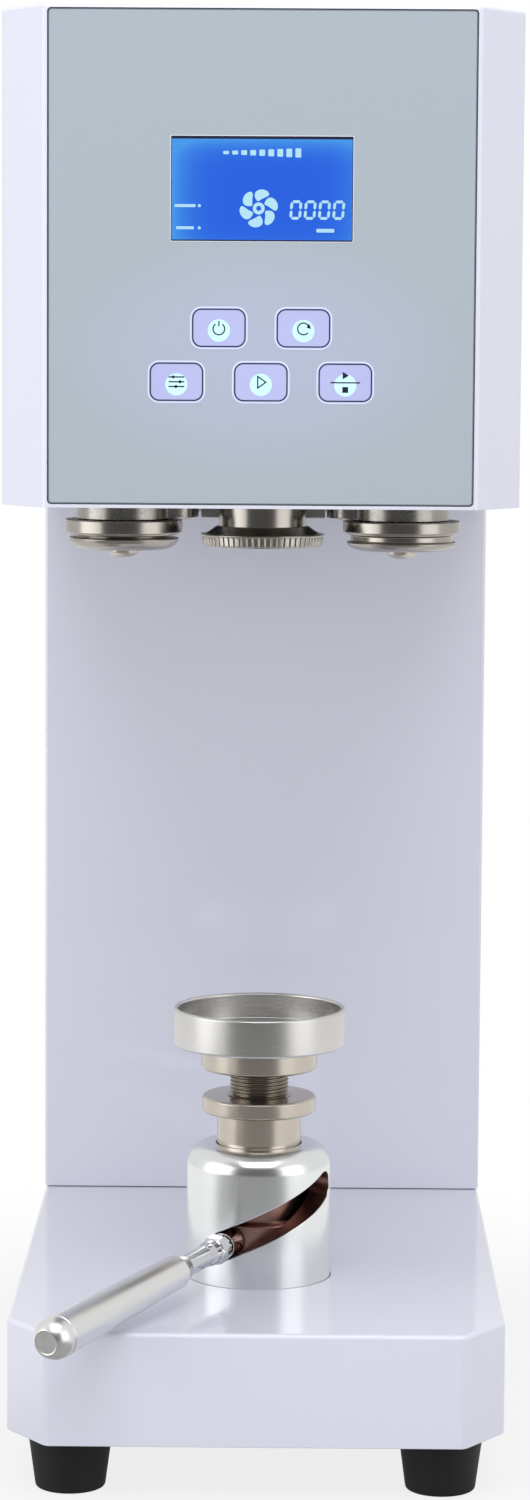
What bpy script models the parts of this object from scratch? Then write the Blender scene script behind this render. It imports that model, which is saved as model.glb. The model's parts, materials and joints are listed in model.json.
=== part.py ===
"""Desktop can seamer: a sheet metal stand whose head spins a chuck and closes two
seaming rollers on it with a heart cam, over a can seat that a lever lifts in a helical slot.

Lengths are in metres, +Z is up and the front faces -Y. Pieces are drawn in machine
coordinates, with the spindle axis at x = y = 0 and the bench at z = 0. The empty
machine_origin then moves the whole machine so that its footprint is centred.
"""

import math

import bmesh
import bpy
from mathutils import Matrix, Vector

# Clearances
GAP = 0.0003
RUNNING_GAP = 0.0004
OVERRUN = 0.002
WELD = 0.000003

# Facets of round pieces
FINE = 32
ROUND = 20
SMALL = 12

# Housing, as seen from the front and the side
WIDTH = 0.200
FOOT_HEIGHT = 0.023
BASE_HEIGHT = 0.0459
THROAT_HEIGHT = 0.3269
HEAD_HEIGHT = 0.1891
BASE_REACH = 0.1035
HEAD_REACH = 0.127
COLUMN_BACK = 0.165
COLUMN_DEPTH = 0.125
BASE_CHAMFER_X = 0.0167
BASE_CHAMFER_Y = 0.024
HEAD_CHAMFER_X = 0.0176
HEAD_CHAMFER_Y = 0.025
SHEET = 0.0015
HEAD_FRONT_WALL = 0.0052
EDGE_RADIUS = 0.002
CORNER_RADIUS = 0.0012
FILLET_SEGMENTS = 3

BASE_TOP = FOOT_HEIGHT + BASE_HEIGHT
HEAD_BOTTOM = BASE_TOP + THROAT_HEIGHT
HEAD_TOP = HEAD_BOTTOM + HEAD_HEIGHT
REAR = COLUMN_BACK + COLUMN_DEPTH
SHELL_REAR = REAR - SHEET - GAP

# Feet
FOOT_TOP_RADIUS = 0.017
FOOT_BOTTOM_RADIUS = 0.014
FOOT_SETBACK = 0.0255
FOOT_X = WIDTH / 2 - FOOT_SETBACK
FOOT_EDGE = 0.0012
FOOT_RECESS_RADIUS = 0.006
FOOT_RECESS_DEPTH = 0.008

# Base plate, and the openings of the base cover under the column
PLATE_RECESS = 0.001
BASE_PLATE_THICKNESS = 0.0025
BASE_FLOOR = FOOT_HEIGHT + PLATE_RECESS + BASE_PLATE_THICKNESS

# Spine frame: a channel that carries the head on the base plate
SPINE_WIDTH = 0.120
SPINE_DEPTH = 0.060
SPINE_THICKNESS = 0.003
SPINE_SETBACK = 0.007
SPINE_HOLE_MARGIN = 0.002

# Rear panel: louvres, power inlet and power switch
LOUVRE_WIDTH = 0.070
LOUVRE_HEIGHT = 0.004
LOUVRE_PITCH = 0.011
LOUVRE_COUNT = 7
COLUMN_LOUVRE_RISE = 0.101
HEAD_LOUVRE_RISE = 0.059
SERVICE_Z = FOOT_HEIGHT + BASE_HEIGHT / 2
INLET_X = -0.048
INLET_FLANGE_WIDTH = 0.050
INLET_FLANGE_HEIGHT = 0.024
INLET_FLANGE_THICKNESS = 0.003
INLET_BODY_WIDTH = 0.028
INLET_BODY_HEIGHT = 0.020
INLET_BODY_DEPTH = 0.026
INLET_SOCKET_WIDTH = 0.0242
INLET_SOCKET_HEIGHT = 0.0162
INLET_SOCKET_DEPTH = 0.0215
INLET_SOCKET_CHAMFER = 0.004
INLET_PIN_WIDTH = 0.002
INLET_PIN_HEIGHT = 0.004
INLET_PIN_LENGTH = 0.015
INLET_PIN_SPACING = 0.007
INLET_EARTH_RISE = 0.0025
SWITCH_X = 0.048
SWITCH_WIDTH = 0.021
SWITCH_HEIGHT = 0.015
SWITCH_RIM = 0.0014
SWITCH_FLANGE = 0.002
SWITCH_DEPTH = 0.017
ROCKER_THROW = math.radians(9)
ROCKER_PROUD = 0.0012
ROCKER_DEPTH = 0.006
ROCKER_CROWN = GAP + SWITCH_FLANGE + ROCKER_PROUD
ROCKER_HALF_HEIGHT = SWITCH_HEIGHT / 2 - 2 * (SWITCH_RIM + RUNNING_GAP)

# Head: glass front with the display and the touch keys behind it
GLASS_LIP = 0.0013
GLASS_THICKNESS = 0.003
GLASS_CORNER = 0.0015
GLASS_LEDGE = 0.006
LCD_WIDTH = 0.0687
LCD_HEIGHT = 0.0393
LCD_TOP = 0.0488
LCD_MARGIN = 0.004
LCD_THICKNESS = 0.007
KEY_RISE = 0.048
KEY_PITCH = 0.032
KEY_ROW_DROP = 0.0204
KEY_RADIUS = 0.006
KEY_BOSS = 0.0015
BOARD_MARGIN = 0.008
BOARD_THICKNESS = 0.0016

# Swing arms and seaming rollers
ROLLER_X = 0.0573
ROLLER_TRAVEL = 0.0076
PIVOT_X = 0.040
PIVOT_BACK = 0.062
ARM_DROP = 0.0099
ARM_THICKNESS = 0.0105
ARM_BOSS_RADIUS = 0.0197
ARM_PIVOT_RADIUS = 0.013
ARM_TAIL_RADIUS = 0.0075
ARM_LUG_RADIUS = 0.010
ARM_LUG_REACH = 0.0208
ARM_LUG_BACK = 0.003
ARM_LUG_STEP = 0.0006
PIVOT_PIN_RADIUS = 0.006
PIVOT_HEAD_RADIUS = 0.009
PIVOT_HEAD = 0.0028
ROLLER_HEIGHT = 0.0122
ROLLER_RADIUS = 0.0242
ROLLER_LIP_RADIUS = 0.0229
ROLLER_GROOVE_DEPTH = 0.0038
ROLLER_FOOT_RADIUS = 0.019
ROLLER_FLAT_GROOVE_DEPTH = 0.0026
ROLLER_RING_SHARE = 0.4
ROLLER_GROOVE_SHARE = 0.66
ROLLER_LIP_SHARE = 0.78
FIRST_FLAT_SHARE = 0.2
SECOND_FLAT_SHARE = 0.6
AXLE_RADIUS = 0.005
AXLE_HEAD_RADIUS = 0.00635
AXLE_HEAD = 0.0035
AXLE_CROWN_SHARE = 0.85
AXLE_RIM_SHARE = 0.33
ARM_BOTTOM = HEAD_BOTTOM - ARM_DROP
ROLLER_TOP = ARM_BOTTOM - GAP
ROLLER_BOTTOM = ROLLER_TOP - ROLLER_HEIGHT
ARM_TOP = ARM_BOTTOM + ARM_THICKNESS
ARM_SWING = math.atan2(ROLLER_TRAVEL, PIVOT_BACK)

# Heart cam and its followers
TAIL_REACH = 0.054
CAM_BACK = PIVOT_BACK + TAIL_REACH
CAM_PITCH_RADIUS = 0.026
CAM_SWING = math.radians(80)
CAM_THICKNESS = 0.0062
CAM_RAYS = 72
CAM_POSES = 61
CAM_SHAFT_RADIUS = 0.004
CAM_SHAFT_ENTRY = 0.010
FOLLOWER_RADIUS = 0.0065
FOLLOWER_PIN_RADIUS = 0.003
CAM_BOTTOM = ARM_TOP + RUNNING_GAP
CAM_TOP = CAM_BOTTOM + CAM_THICKNESS
SPRING_RADIUS = 0.0088
SPRING_WIRE = 0.0007
SPRING_TURNS = 3
COIL_POINTS = 10
GEARBOX_RADIUS = 0.0185
GEARBOX_LENGTH = 0.036
CAM_MOTOR_RADIUS = 0.014
CAM_MOTOR_LENGTH = 0.038

# Mechanism plate in the head's underside, above the cam
PLATE_CLEARANCE = 0.002
PLATE_THICKNESS = 0.007
PLATE_MARGIN = 0.0008
MECHANISM_BOTTOM = CAM_TOP + PLATE_CLEARANCE
MECHANISM_TOP = MECHANISM_BOTTOM + PLATE_THICKNESS

# Chuck and spindle
CHUCK_DROP = 0.021
CHUCK_HEIGHT = 0.0204
CHUCK_RADIUS = 0.0255
CHUCK_LIP = 0.0051
CHUCK_CONE = 0.0031
CHUCK_HUB_RADIUS = 0.0179
CHUCK_DRAFT = 0.0008
CHUCK_DISH_RADIUS = 0.019
CHUCK_DISH_DEPTH = 0.002
CHUCK_SCREW_RADIUS = 0.0055
SPINDLE_RADIUS = 0.010
SPINDLE_COLLAR_RADIUS = 0.0125
SPINDLE_SOCKET_DEPTH = 0.010
BEARING_RADIUS = 0.021
BEARING_WIDTH = 0.012
BEARING_RACE = 0.0035
BEARING_GROOVE = 0.0006
HOUSING_RISE = 0.0274
HOUSING_RADIUS = 0.0265
HOUSING_FLANGE_RADIUS = 0.037
HOUSING_FLANGE = 0.006
HOUSING_SHOULDER = 0.003
NOSE_HALF_WIDTH = 0.026
NOSE_FRONT = 0.024
NOSE_DEPTH = 0.026
NOSE_DROP = 0.0108
CHUCK_BOTTOM = HEAD_BOTTOM - CHUCK_DROP
CHUCK_HUB_TOP = CHUCK_BOTTOM + CHUCK_HEIGHT
HOUSING_BOTTOM = CHUCK_HUB_TOP + RUNNING_GAP
HOUSING_TOP = MECHANISM_TOP + HOUSING_RISE

# Spur gears between the main motor and the spindle
GEAR_MODULE = 0.0015
GEAR_TEETH = 48
PINION_TEETH = 20
PRESSURE_ANGLE = math.radians(20)
BACKLASH = 0.0003
GEAR_WIDTH = 0.010
GEAR_RISE = 0.004
GEAR_RIM = 0.005
GEAR_WEB = 0.005
GEAR_HUB_RADIUS = 0.014
FLANK_POINTS = 3
ADDENDUM_SHARE = 1.0
DEDENDUM_SHARE = 1.25
CENTRE_DISTANCE = GEAR_MODULE * (GEAR_TEETH + PINION_TEETH) / 2
GEAR_BOTTOM = HOUSING_TOP + GEAR_RISE

# Main motor on its bridge
BRIDGE_MARGIN = 0.0095
BRIDGE_THICKNESS = 0.005
BRIDGE_DEPTH = 0.090
BRIDGE_FOOT = 0.014
BRIDGE_CLEARANCE = 0.006
BRIDGE_HOLE = 0.0195
MOTOR_RADIUS = 0.038
MOTOR_LENGTH = 0.078
MOTOR_CAP_RADIUS = 0.030
MOTOR_CAP_LENGTH = 0.014
MOTOR_BAND = 0.0015
MOTOR_SHAFT_RADIUS = 0.004
MOTOR_SHAFT_ENTRY = 0.008
BRIDGE_TOP = GEAR_BOTTOM + GEAR_WIDTH + BRIDGE_CLEARANCE + BRIDGE_THICKNESS
GEAR_TIP_RADIUS = GEAR_MODULE * (GEAR_TEETH / 2 + ADDENDUM_SHARE)
BRIDGE_HALF_WIDTH = GEAR_TIP_RADIUS + BRIDGE_MARGIN + BRIDGE_THICKNESS

# Power supply and control board
SUPPLY_WIDTH = 0.098
SUPPLY_DEPTH = 0.106
SUPPLY_HEADROOM = 0.0036
SUPPLY_CLEARANCE = 0.008
SUPPLY_SLOTS = 6
SUPPLY_SLOT_SHARE = 0.4
SUPPLY_SLOT_DEPTH = 0.002
CONTROL_WIDTH = 0.090
CONTROL_HEIGHT = 0.120
CONTROL_RISE = 0.131
CONTROL_STANDOFF = 0.008
CONTROL_STANDOFF_RADIUS = 0.003
CONTROL_INSET = 0.008
RELAY_WIDTH = 0.019
RELAY_HEIGHT = 0.016
RELAY_DEPTH = 0.015
CAPACITOR_RADIUS = 0.008
CAPACITOR_LENGTH = 0.022

# Lift: housing with a helical slot, plunger and lever
LIFT_RADIUS = 0.03025
LIFT_HEIGHT = 0.0561
LIFT_SHOULDER = 0.009
LIFT_ROOF = 0.0055
MOUTH_GAP = 0.0008
LIFT_FLANGE_RADIUS = 0.042
LIFT_FLANGE = 0.006
LIFT_TOP = BASE_TOP + LIFT_HEIGHT
LEVER_REST = math.radians(-29.1)
LEVER_SWING = math.radians(95)
LIFT_PER_RADIAN = 0.01375
LEVER_RISE = 0.0197
LEVER_TILT = math.radians(4.54)
SLOT_GAP = 0.00045
SLOT_STATIONS = 16
SLOT_END_STATIONS = 4
PLUNGER_ROOT = 0.0223
PLUNGER_BODY = 0.0277
PLUNGER_PROUD = 0.013
PLUNGER_FLOOR = 0.0062
PLUNGER_RADIUS = 0.0211
PLUNGER_NECK_RADIUS = 0.0175
PLUNGER_CHAMFER = 0.001
WASHER_THICKNESS = 0.003
WASHER_HOLE = 0.008
LIFTER_SPRING_RADIUS = 0.0148
LIFTER_SPRING_WIRE = 0.0014
LIFTER_SPRING_TURNS = 4
LEVER_AXIS_Z = BASE_TOP + LEVER_RISE
LIFT_BORE = PLUNGER_RADIUS + RUNNING_GAP
LIFT_MOUTH = PLUNGER_NECK_RADIUS + MOUTH_GAP
PLUNGER_BOTTOM = LEVER_AXIS_Z - PLUNGER_ROOT
PLUNGER_SHOULDER = PLUNGER_BOTTOM + PLUNGER_BODY
PLUNGER_TOP = LIFT_TOP + PLUNGER_PROUD
WASHER_RADIUS = PLUNGER_RADIUS - GAP

# Threaded stud, lock nut and can seat
STUD_RADIUS = 0.01225
STUD_LOWERING = 0.0095
THREAD_SHOWN = 0.0115
STUD_CHAMFER = 0.001
NUT_RADIUS = 0.0237
NUT_HEIGHT = 0.0068
NUT_CHAMFER = 0.0008
SEAT_DISC_RADIUS = 0.02425
SEAT_DISC_HEIGHT = 0.0096
SEAT_DISC_CHAMFER = 0.0008
SEAT_PIN_RADIUS = 0.008
SEAT_PIN_LENGTH = 0.0075
SEAT_RADIUS = 0.0359
SEAT_WALL = 0.0019
SEAT_HEIGHT = 0.0158
SEAT_FLOOR = 0.0045
SEAT_EDGE = 0.0006
STUD_BOTTOM = PLUNGER_BOTTOM + PLUNGER_FLOOR + STUD_LOWERING
DISC_BOTTOM = PLUNGER_TOP + GAP + NUT_HEIGHT + THREAD_SHOWN
SEAT_BOTTOM = DISC_BOTTOM + SEAT_DISC_HEIGHT + GAP

# Lever rod, slot bush and grip, by their distance from the spindle axis
ROD_RADIUS = 0.0045
ROD_ROOT_WALL = 0.00245
ROD_GRIPPED = 0.0355
ROD_COLLAR_CLEARANCE = 0.0015
ROD_COLLAR_LENGTH = 0.0065
ROD_COLLAR_RADIUS = 0.0062
BUSH_RADIUS = 0.00545
BUSH_SETBACK = 0.0003
GRIP_START = 0.0625
GRIP_START_RADIUS = 0.007
GRIP_FACE_WALL = 0.0007
GRIP_RADIUS = 0.0085
GRIP_BALL_REACH = 0.1584
GRIP_TIP_RADIUS = 0.004
GRIP_BORE_MARGIN = 0.004
GRIP_LEAD = 0.0055
GRIP_CAP_STEPS = 5
ROD_START = STUD_RADIUS + GAP + ROD_ROOT_WALL
ROD_END = GRIP_START + ROD_GRIPPED
ROD_COLLAR_START = LIFT_RADIUS + ROD_COLLAR_CLEARANCE
BUSH_START = PLUNGER_RADIUS + GAP + BUSH_RADIUS * math.tan(LEVER_TILT)
BUSH_END = LIFT_RADIUS - BUSH_SETBACK
SLOT_HALF_WIDTH = BUSH_RADIUS + SLOT_GAP

# The footprint runs from the tip of the grip to the raised end of the rocker
FRONT_REACH = GRIP_BALL_REACH * math.cos(LEVER_REST) + GRIP_RADIUS
REAR_REACH = (REAR + ROCKER_CROWN * math.cos(ROCKER_THROW)
              + ROCKER_HALF_HEIGHT * math.sin(ROCKER_THROW))
AXIS_Y = (FRONT_REACH - REAR_REACH) / 2

UP = Vector((0, 0, 1))


def clear_scene():
    for obj in list(bpy.data.objects):
        bpy.data.objects.remove(obj, do_unlink=True)


def finish(name, colour, roughness, metallic):
    """One Principled BSDF material."""
    material = bpy.data.materials.new(name)
    material.use_nodes = True
    shader = material.node_tree.nodes["Principled BSDF"]
    shader.inputs["Base Color"].default_value = (*colour, 1)
    shader.inputs["Roughness"].default_value = roughness
    shader.inputs["Metallic"].default_value = metallic
    return material


def carrier(name, place, parent=None):
    """An empty on a joint's axis, or at the machine's origin, that carries pieces."""
    empty = bpy.data.objects.new(name, None)
    bpy.context.scene.collection.objects.link(empty)
    empty.parent = parent
    empty["place"] = tuple(place)
    start = Vector(parent["place"]) if parent else Vector()
    empty.location = Vector(place) - start if parent else Vector((0, AXIS_Y, 0))
    return empty


def add(name, mesh, material, holder):
    """A piece drawn in machine coordinates, made a child of its carrier."""
    mesh.name = name
    mesh.transform(Matrix.Translation(-Vector(holder["place"])))
    mesh.materials.append(material)
    mesh.shade_smooth()
    mesh.set_sharp_from_angle(angle=math.radians(32))
    obj = bpy.data.objects.new(name, mesh)
    bpy.context.scene.collection.objects.link(obj)
    obj.parent = holder
    return obj


def combine(obj, mesh, operation="DIFFERENCE"):
    """Cuts a mesh out of an object, or joins one to it, with an exact Boolean."""
    mesh.transform(Matrix.Translation(-Vector(obj.parent["place"])))
    tool = bpy.data.objects.new(obj.name + "_tool", mesh)
    bpy.context.scene.collection.objects.link(tool)
    tool.parent = obj.parent
    tool.hide_render = True
    tool.display_type = "WIRE"
    modifier = obj.modifiers.new(operation.title(), "BOOLEAN")
    modifier.operation = operation
    modifier.solver = "EXACT"
    modifier.object = tool


def mesh_of(bm):
    bmesh.ops.recalc_face_normals(bm, faces=bm.faces)
    mesh = bpy.data.meshes.new("piece")
    bm.to_mesh(mesh)
    bm.free()
    return mesh


def prism(outline, bottom, top, rounded=None, radius=0):
    """An outline in the XY plane, extruded upwards. rounded picks the edges that get a fillet."""
    bm = bmesh.new()
    face = bm.faces.new([bm.verts.new((x, y, bottom)) for x, y in outline])
    raised = bmesh.ops.extrude_face_region(bm, geom=[face])["geom"]
    lifted = [v for v in raised if isinstance(v, bmesh.types.BMVert)]
    bmesh.ops.translate(bm, verts=lifted, vec=(0, 0, top - bottom))
    if rounded:
        edges = [e for e in bm.edges if rounded(*(v.co for v in e.verts))]
        bmesh.ops.bevel(bm, geom=edges, offset=radius, segments=FILLET_SEGMENTS,
                        affect="EDGES", profile=0.5, clamp_overlap=True)
    return mesh_of(bm)


def box(low, high):
    """A box between two corners."""
    (x0, y0, z0), (x1, y1, z1) = low, high
    return prism([(x0, y0), (x1, y0), (x1, y1), (x0, y1)], z0, z1)


def lathe(profile, steps=ROUND, place=(0, 0, 0)):
    """Turns (radius, height) points round Z. A profile that starts and ends on the axis is solid,
    any other profile is closed to a ring."""
    bm = bmesh.new()
    verts = [bm.verts.new((r, 0, z)) for r, z in profile]
    edges = [bm.edges.new(pair) for pair in zip(verts, verts[1:])]
    if profile[0][0] > 0:
        edges.append(bm.edges.new((verts[-1], verts[0])))
    bmesh.ops.spin(bm, geom=verts + edges, cent=(0, 0, 0), axis=UP, angle=math.tau,
                   steps=steps, use_merge=True)
    bmesh.ops.remove_doubles(bm, verts=bm.verts, dist=WELD)
    mesh = mesh_of(bm)
    mesh.transform(Matrix.Translation(place))
    return mesh


def disc(radius, bottom, top, steps=ROUND, place=(0, 0, 0)):
    """A plain solid cylinder."""
    return lathe([(0, bottom), (radius, bottom), (radius, top), (0, top)], steps, place)


def ring(outer, inner, bottom, top, steps=ROUND, place=(0, 0, 0)):
    """A plain tube."""
    profile = [(inner, bottom), (outer, bottom), (outer, top), (inner, top)]
    return lathe(profile, steps, place)


def chamfered(half_width, reach, rear, chamfer_x, chamfer_y):
    """The plan of a housing with its two front corners cut off, counter-clockwise from the rear left."""
    return [
        (-half_width, rear),
        (-half_width, chamfer_y - reach),
        (chamfer_x - half_width, -reach),
        (half_width - chamfer_x, -reach),
        (half_width, chamfer_y - reach),
        (half_width, rear),
    ]


def inset(outline, walls):
    """The outline moved inwards by one wall for each of its sides, the side after point i first."""
    count = len(outline)
    sides = []
    for i, wall in enumerate(walls):
        start = Vector(outline[i])
        along = (Vector(outline[(i + 1) % count]) - start).normalized()
        sides.append((start + wall * Vector((-along.y, along.x)), along))
    points = []
    for i in range(count):
        (p, d), (q, e) = sides[i - 1], sides[i]
        share = (q - p).cross(e) / d.cross(e)
        points.append(tuple(p + share * d))
    return points


def rounded_plate(half_x, half_z, corner, front, back, centre):
    """An upright plate with round corners, between two depths."""
    (cx, cz) = centre
    points = []
    for k, (sx, sz) in enumerate(((1, 1), (-1, 1), (-1, -1), (1, -1))):
        for step in range(FILLET_SEGMENTS + 1):
            angle = math.pi / 2 * (k + step / FILLET_SEGMENTS)
            points.append((cx + sx * (half_x - corner) + corner * math.cos(angle),
                           cz + sz * (half_z - corner) + corner * math.sin(angle)))
    mesh = prism(points, -back, -front)
    mesh.transform(Matrix.Rotation(math.pi / 2, 4, "X"))
    return mesh


def hull_outline(circles, steps=FINE):
    """The plan of a link round several (x, y, radius) bosses: their common tangents and arcs."""
    points = sorted(
        (x + r * math.cos(math.tau * k / steps), y + r * math.sin(math.tau * k / steps))
        for x, y, r in circles for k in range(steps)
    )
    outline = []
    for run in (points, points[::-1]):
        chain = []
        for point in run:
            while len(chain) > 1 and turn(chain[-2], chain[-1], point) <= WELD * WELD:
                chain.pop()
            chain.append(point)
        outline += chain[:-1]
    return outline


def turn(a, b, c):
    """Positive where the path a, b, c turns left."""
    return (b[0] - a[0]) * (c[1] - a[1]) - (b[1] - a[1]) * (c[0] - a[0])


def coil(name, radius, wire, bottom, top, turns, place, material, holder):
    """A spring: a round wire on a helix between two heights."""
    curve = bpy.data.curves.new(name, "CURVE")
    curve.dimensions = "3D"
    curve.bevel_depth = wire
    curve.bevel_resolution = 1
    curve.use_fill_caps = True
    count = round(turns * COIL_POINTS)
    spline = curve.splines.new("POLY")
    spline.points.add(count)
    rise = top - bottom - 2 * wire
    for k in range(count + 1):
        angle = math.tau * turns * k / count
        height = bottom + wire + rise * k / count
        spline.points[k].co = (radius * math.cos(angle), radius * math.sin(angle), height, 1)
    curve.materials.append(material)
    obj = bpy.data.objects.new(name, curve)
    bpy.context.scene.collection.objects.link(obj)
    obj.parent = holder
    obj.location = Vector(place) - Vector(holder["place"])
    return obj


def involute(angle):
    return math.tan(angle) - angle


def gear_outline(teeth, phase):
    """A spur gear's plan with involute flanks. phase turns a tooth off the +X axis."""
    pitch = GEAR_MODULE * teeth / 2
    base = pitch * math.cos(PRESSURE_ANGLE)
    tip = pitch + GEAR_MODULE * ADDENDUM_SHARE
    root = pitch - GEAR_MODULE * DEDENDUM_SHARE
    half_tooth = math.pi / (2 * teeth) - BACKLASH / (4 * pitch)
    start = max(base, root)
    flank = [(root, half_tooth + involute(PRESSURE_ANGLE))] if root < base else []
    for k in range(FLANK_POINTS):
        radius = start + (tip - start) * k / (FLANK_POINTS - 1)
        away = involute(math.acos(min(1, base / radius)))
        flank.append((radius, half_tooth + involute(PRESSURE_ANGLE) - away))
    points = []
    for tooth in range(teeth):
        centre = phase + math.tau * tooth / teeth
        for side, run in ((-1, flank), (1, flank[::-1])):
            for radius, half in run:
                angle = centre + side * half
                points.append((radius * math.cos(angle), radius * math.sin(angle)))
    return points


def turned(point, angle):
    """A point of the plan turned about the origin."""
    x, y = point
    return (x * math.cos(angle) - y * math.sin(angle), x * math.sin(angle) + y * math.cos(angle))


def cam_outline():
    """The heart cam's plan about its shaft: along each ray, the nearest that either follower comes
    while the cam turns and the arms swing with it."""
    reach = FOLLOWER_RADIUS + RUNNING_GAP
    centres = []
    for step in range(CAM_POSES):
        share = 2 * step / (CAM_POSES - 1) - 1
        for side in (-1, 1):
            arm = (side * (CAM_PITCH_RADIUS - PIVOT_X), CAM_BACK - PIVOT_BACK)
            x, y = turned(arm, share * ARM_SWING)
            centre = (x + side * PIVOT_X, y + PIVOT_BACK - CAM_BACK)
            centres.append(turned(centre, -share * CAM_SWING))
    points = []
    for ray in range(CAM_RAYS):
        along = turned((1, 0), math.tau * ray / CAM_RAYS)
        nearest = CAM_PITCH_RADIUS
        for x, y in centres:
            forward = x * along[0] + y * along[1]
            square = reach ** 2 - x ** 2 - y ** 2 + forward ** 2
            if forward > 0 and square > 0:
                nearest = min(nearest, forward - math.sqrt(square))
        points.append((nearest * along[0], nearest * along[1]))
    return points


def lever_height(radius):
    """Height of the lever's axis, at rest, this far from the spindle axis."""
    return LEVER_AXIS_Z - radius * math.tan(LEVER_TILT)


def slot_mesh():
    """The helical slot: the path of the lever's bush through the housing wall, with round ends."""
    ends = [math.pi / 2 * k / SLOT_END_STATIONS for k in range(SLOT_END_STATIONS)]
    stations = [(0, -math.cos(a), math.sin(a)) for a in ends]
    stations += [(k / SLOT_STATIONS, 0, 1) for k in range(SLOT_STATIONS + 1)]
    stations += [(1, math.cos(a), math.sin(a)) for a in reversed(ends)]
    bm = bmesh.new()
    layers = []
    for radius in (LIFT_BORE - OVERRUN, LIFT_RADIUS + OVERRUN):
        slope = math.atan2(LIFT_PER_RADIAN, radius)
        lower, upper = [], []
        for share, past, width in stations:
            angle = LEVER_REST + LEVER_SWING * share
            height = lever_height(radius) + LIFT_PER_RADIAN * LEVER_SWING * share
            for row, side in ((lower, -1), (upper, 1)):
                along = SLOT_HALF_WIDTH * (past * math.cos(slope) - side * width * math.sin(slope))
                rise = SLOT_HALF_WIDTH * (past * math.sin(slope) + side * width * math.cos(slope))
                turned_by = angle + along / radius
                row.append(bm.verts.new((radius * math.sin(turned_by),
                                         -radius * math.cos(turned_by), height + rise)))
        layers.append((lower, upper))
    for lower, upper in layers:
        for k in range(len(lower) - 1):
            bm.faces.new((lower[k], lower[k + 1], upper[k + 1], upper[k]))
    (low_in, up_in), (low_out, up_out) = layers
    for inner, outer in ((low_in, low_out), (up_in, up_out)):
        for k in range(len(inner) - 1):
            bm.faces.new((inner[k], inner[k + 1], outer[k + 1], outer[k]))
    bmesh.ops.remove_doubles(bm, verts=bm.verts, dist=WELD)
    bmesh.ops.dissolve_degenerate(bm, edges=bm.edges, dist=WELD)
    return mesh_of(bm)


def along_lever(profile, steps=SMALL):
    """A piece turned round the lever's own axis. Its heights are distances from the spindle axis."""
    stretched = [(r, s / math.cos(LEVER_TILT)) for r, s in profile]
    mesh = lathe(stretched, steps)
    mesh.transform(Matrix.Rotation(math.pi / 2 + LEVER_TILT, 4, "X"))
    mesh.transform(Matrix.Rotation(LEVER_REST, 4, "Z"))
    mesh.transform(Matrix.Translation((0, 0, LEVER_AXIS_Z)))
    return mesh


def build_base(root, paint, steel, rubber):
    """Base cover, base plate and the four rubber feet."""
    outline = chamfered(WIDTH / 2, BASE_REACH, SHELL_REAR, BASE_CHAMFER_X, BASE_CHAMFER_Y)
    inner = inset(outline, [SHEET, SHEET, SHEET, SHEET, SHEET, -OVERRUN])

    def filleted(a, b):
        upright = abs(a.z - b.z) > GAP and max(a.y, b.y) < 0
        roof = min(a.z, b.z) > BASE_TOP - GAP and min(a.y, b.y) < SHELL_REAR - GAP
        return upright or roof

    cover = add("base_cover", prism(outline, FOOT_HEIGHT, BASE_TOP, filleted, EDGE_RADIUS), paint, root)
    combine(cover, prism(inner, FOOT_HEIGHT - OVERRUN, BASE_TOP - SHEET))
    spine_front = COLUMN_BACK + SPINE_SETBACK - SPINE_HOLE_MARGIN
    spine_rear = spine_front + SPINE_DEPTH + 2 * SPINE_HOLE_MARGIN
    hole_x = SPINE_WIDTH / 2 + SPINE_HOLE_MARGIN
    combine(cover, box((-hole_x, spine_front, BASE_TOP - SHEET - OVERRUN),
                       (hole_x, spine_rear, BASE_TOP + OVERRUN)))
    combine(cover, disc(LIFT_RADIUS + GAP, BASE_TOP - SHEET - OVERRUN, BASE_TOP + OVERRUN, FINE))

    plate = inset(inner, [GAP, GAP, GAP, GAP, GAP, OVERRUN + GAP])
    low = FOOT_HEIGHT + PLATE_RECESS
    add("base_plate", prism(plate, low, low + BASE_PLATE_THICKNESS), steel, root)

    foot_top = low - GAP
    profile = [
        (FOOT_RECESS_RADIUS, 0),
        (FOOT_BOTTOM_RADIUS - FOOT_EDGE, 0),
        (FOOT_BOTTOM_RADIUS, FOOT_EDGE),
        (FOOT_TOP_RADIUS, foot_top - FOOT_EDGE),
        (FOOT_TOP_RADIUS - FOOT_EDGE, foot_top),
        (0, foot_top),
    ]
    profile = [(0, FOOT_RECESS_DEPTH), (FOOT_RECESS_RADIUS, FOOT_RECESS_DEPTH)] + profile
    rows = (("front", FOOT_SETBACK - BASE_REACH), ("rear", REAR - FOOT_SETBACK))
    for row, y in rows:
        for side, x in (("left", -FOOT_X), ("right", FOOT_X)):
            add(f"foot_{row}_{side}", lathe(profile, ROUND, (x, y, 0)), rubber, root)


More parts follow.
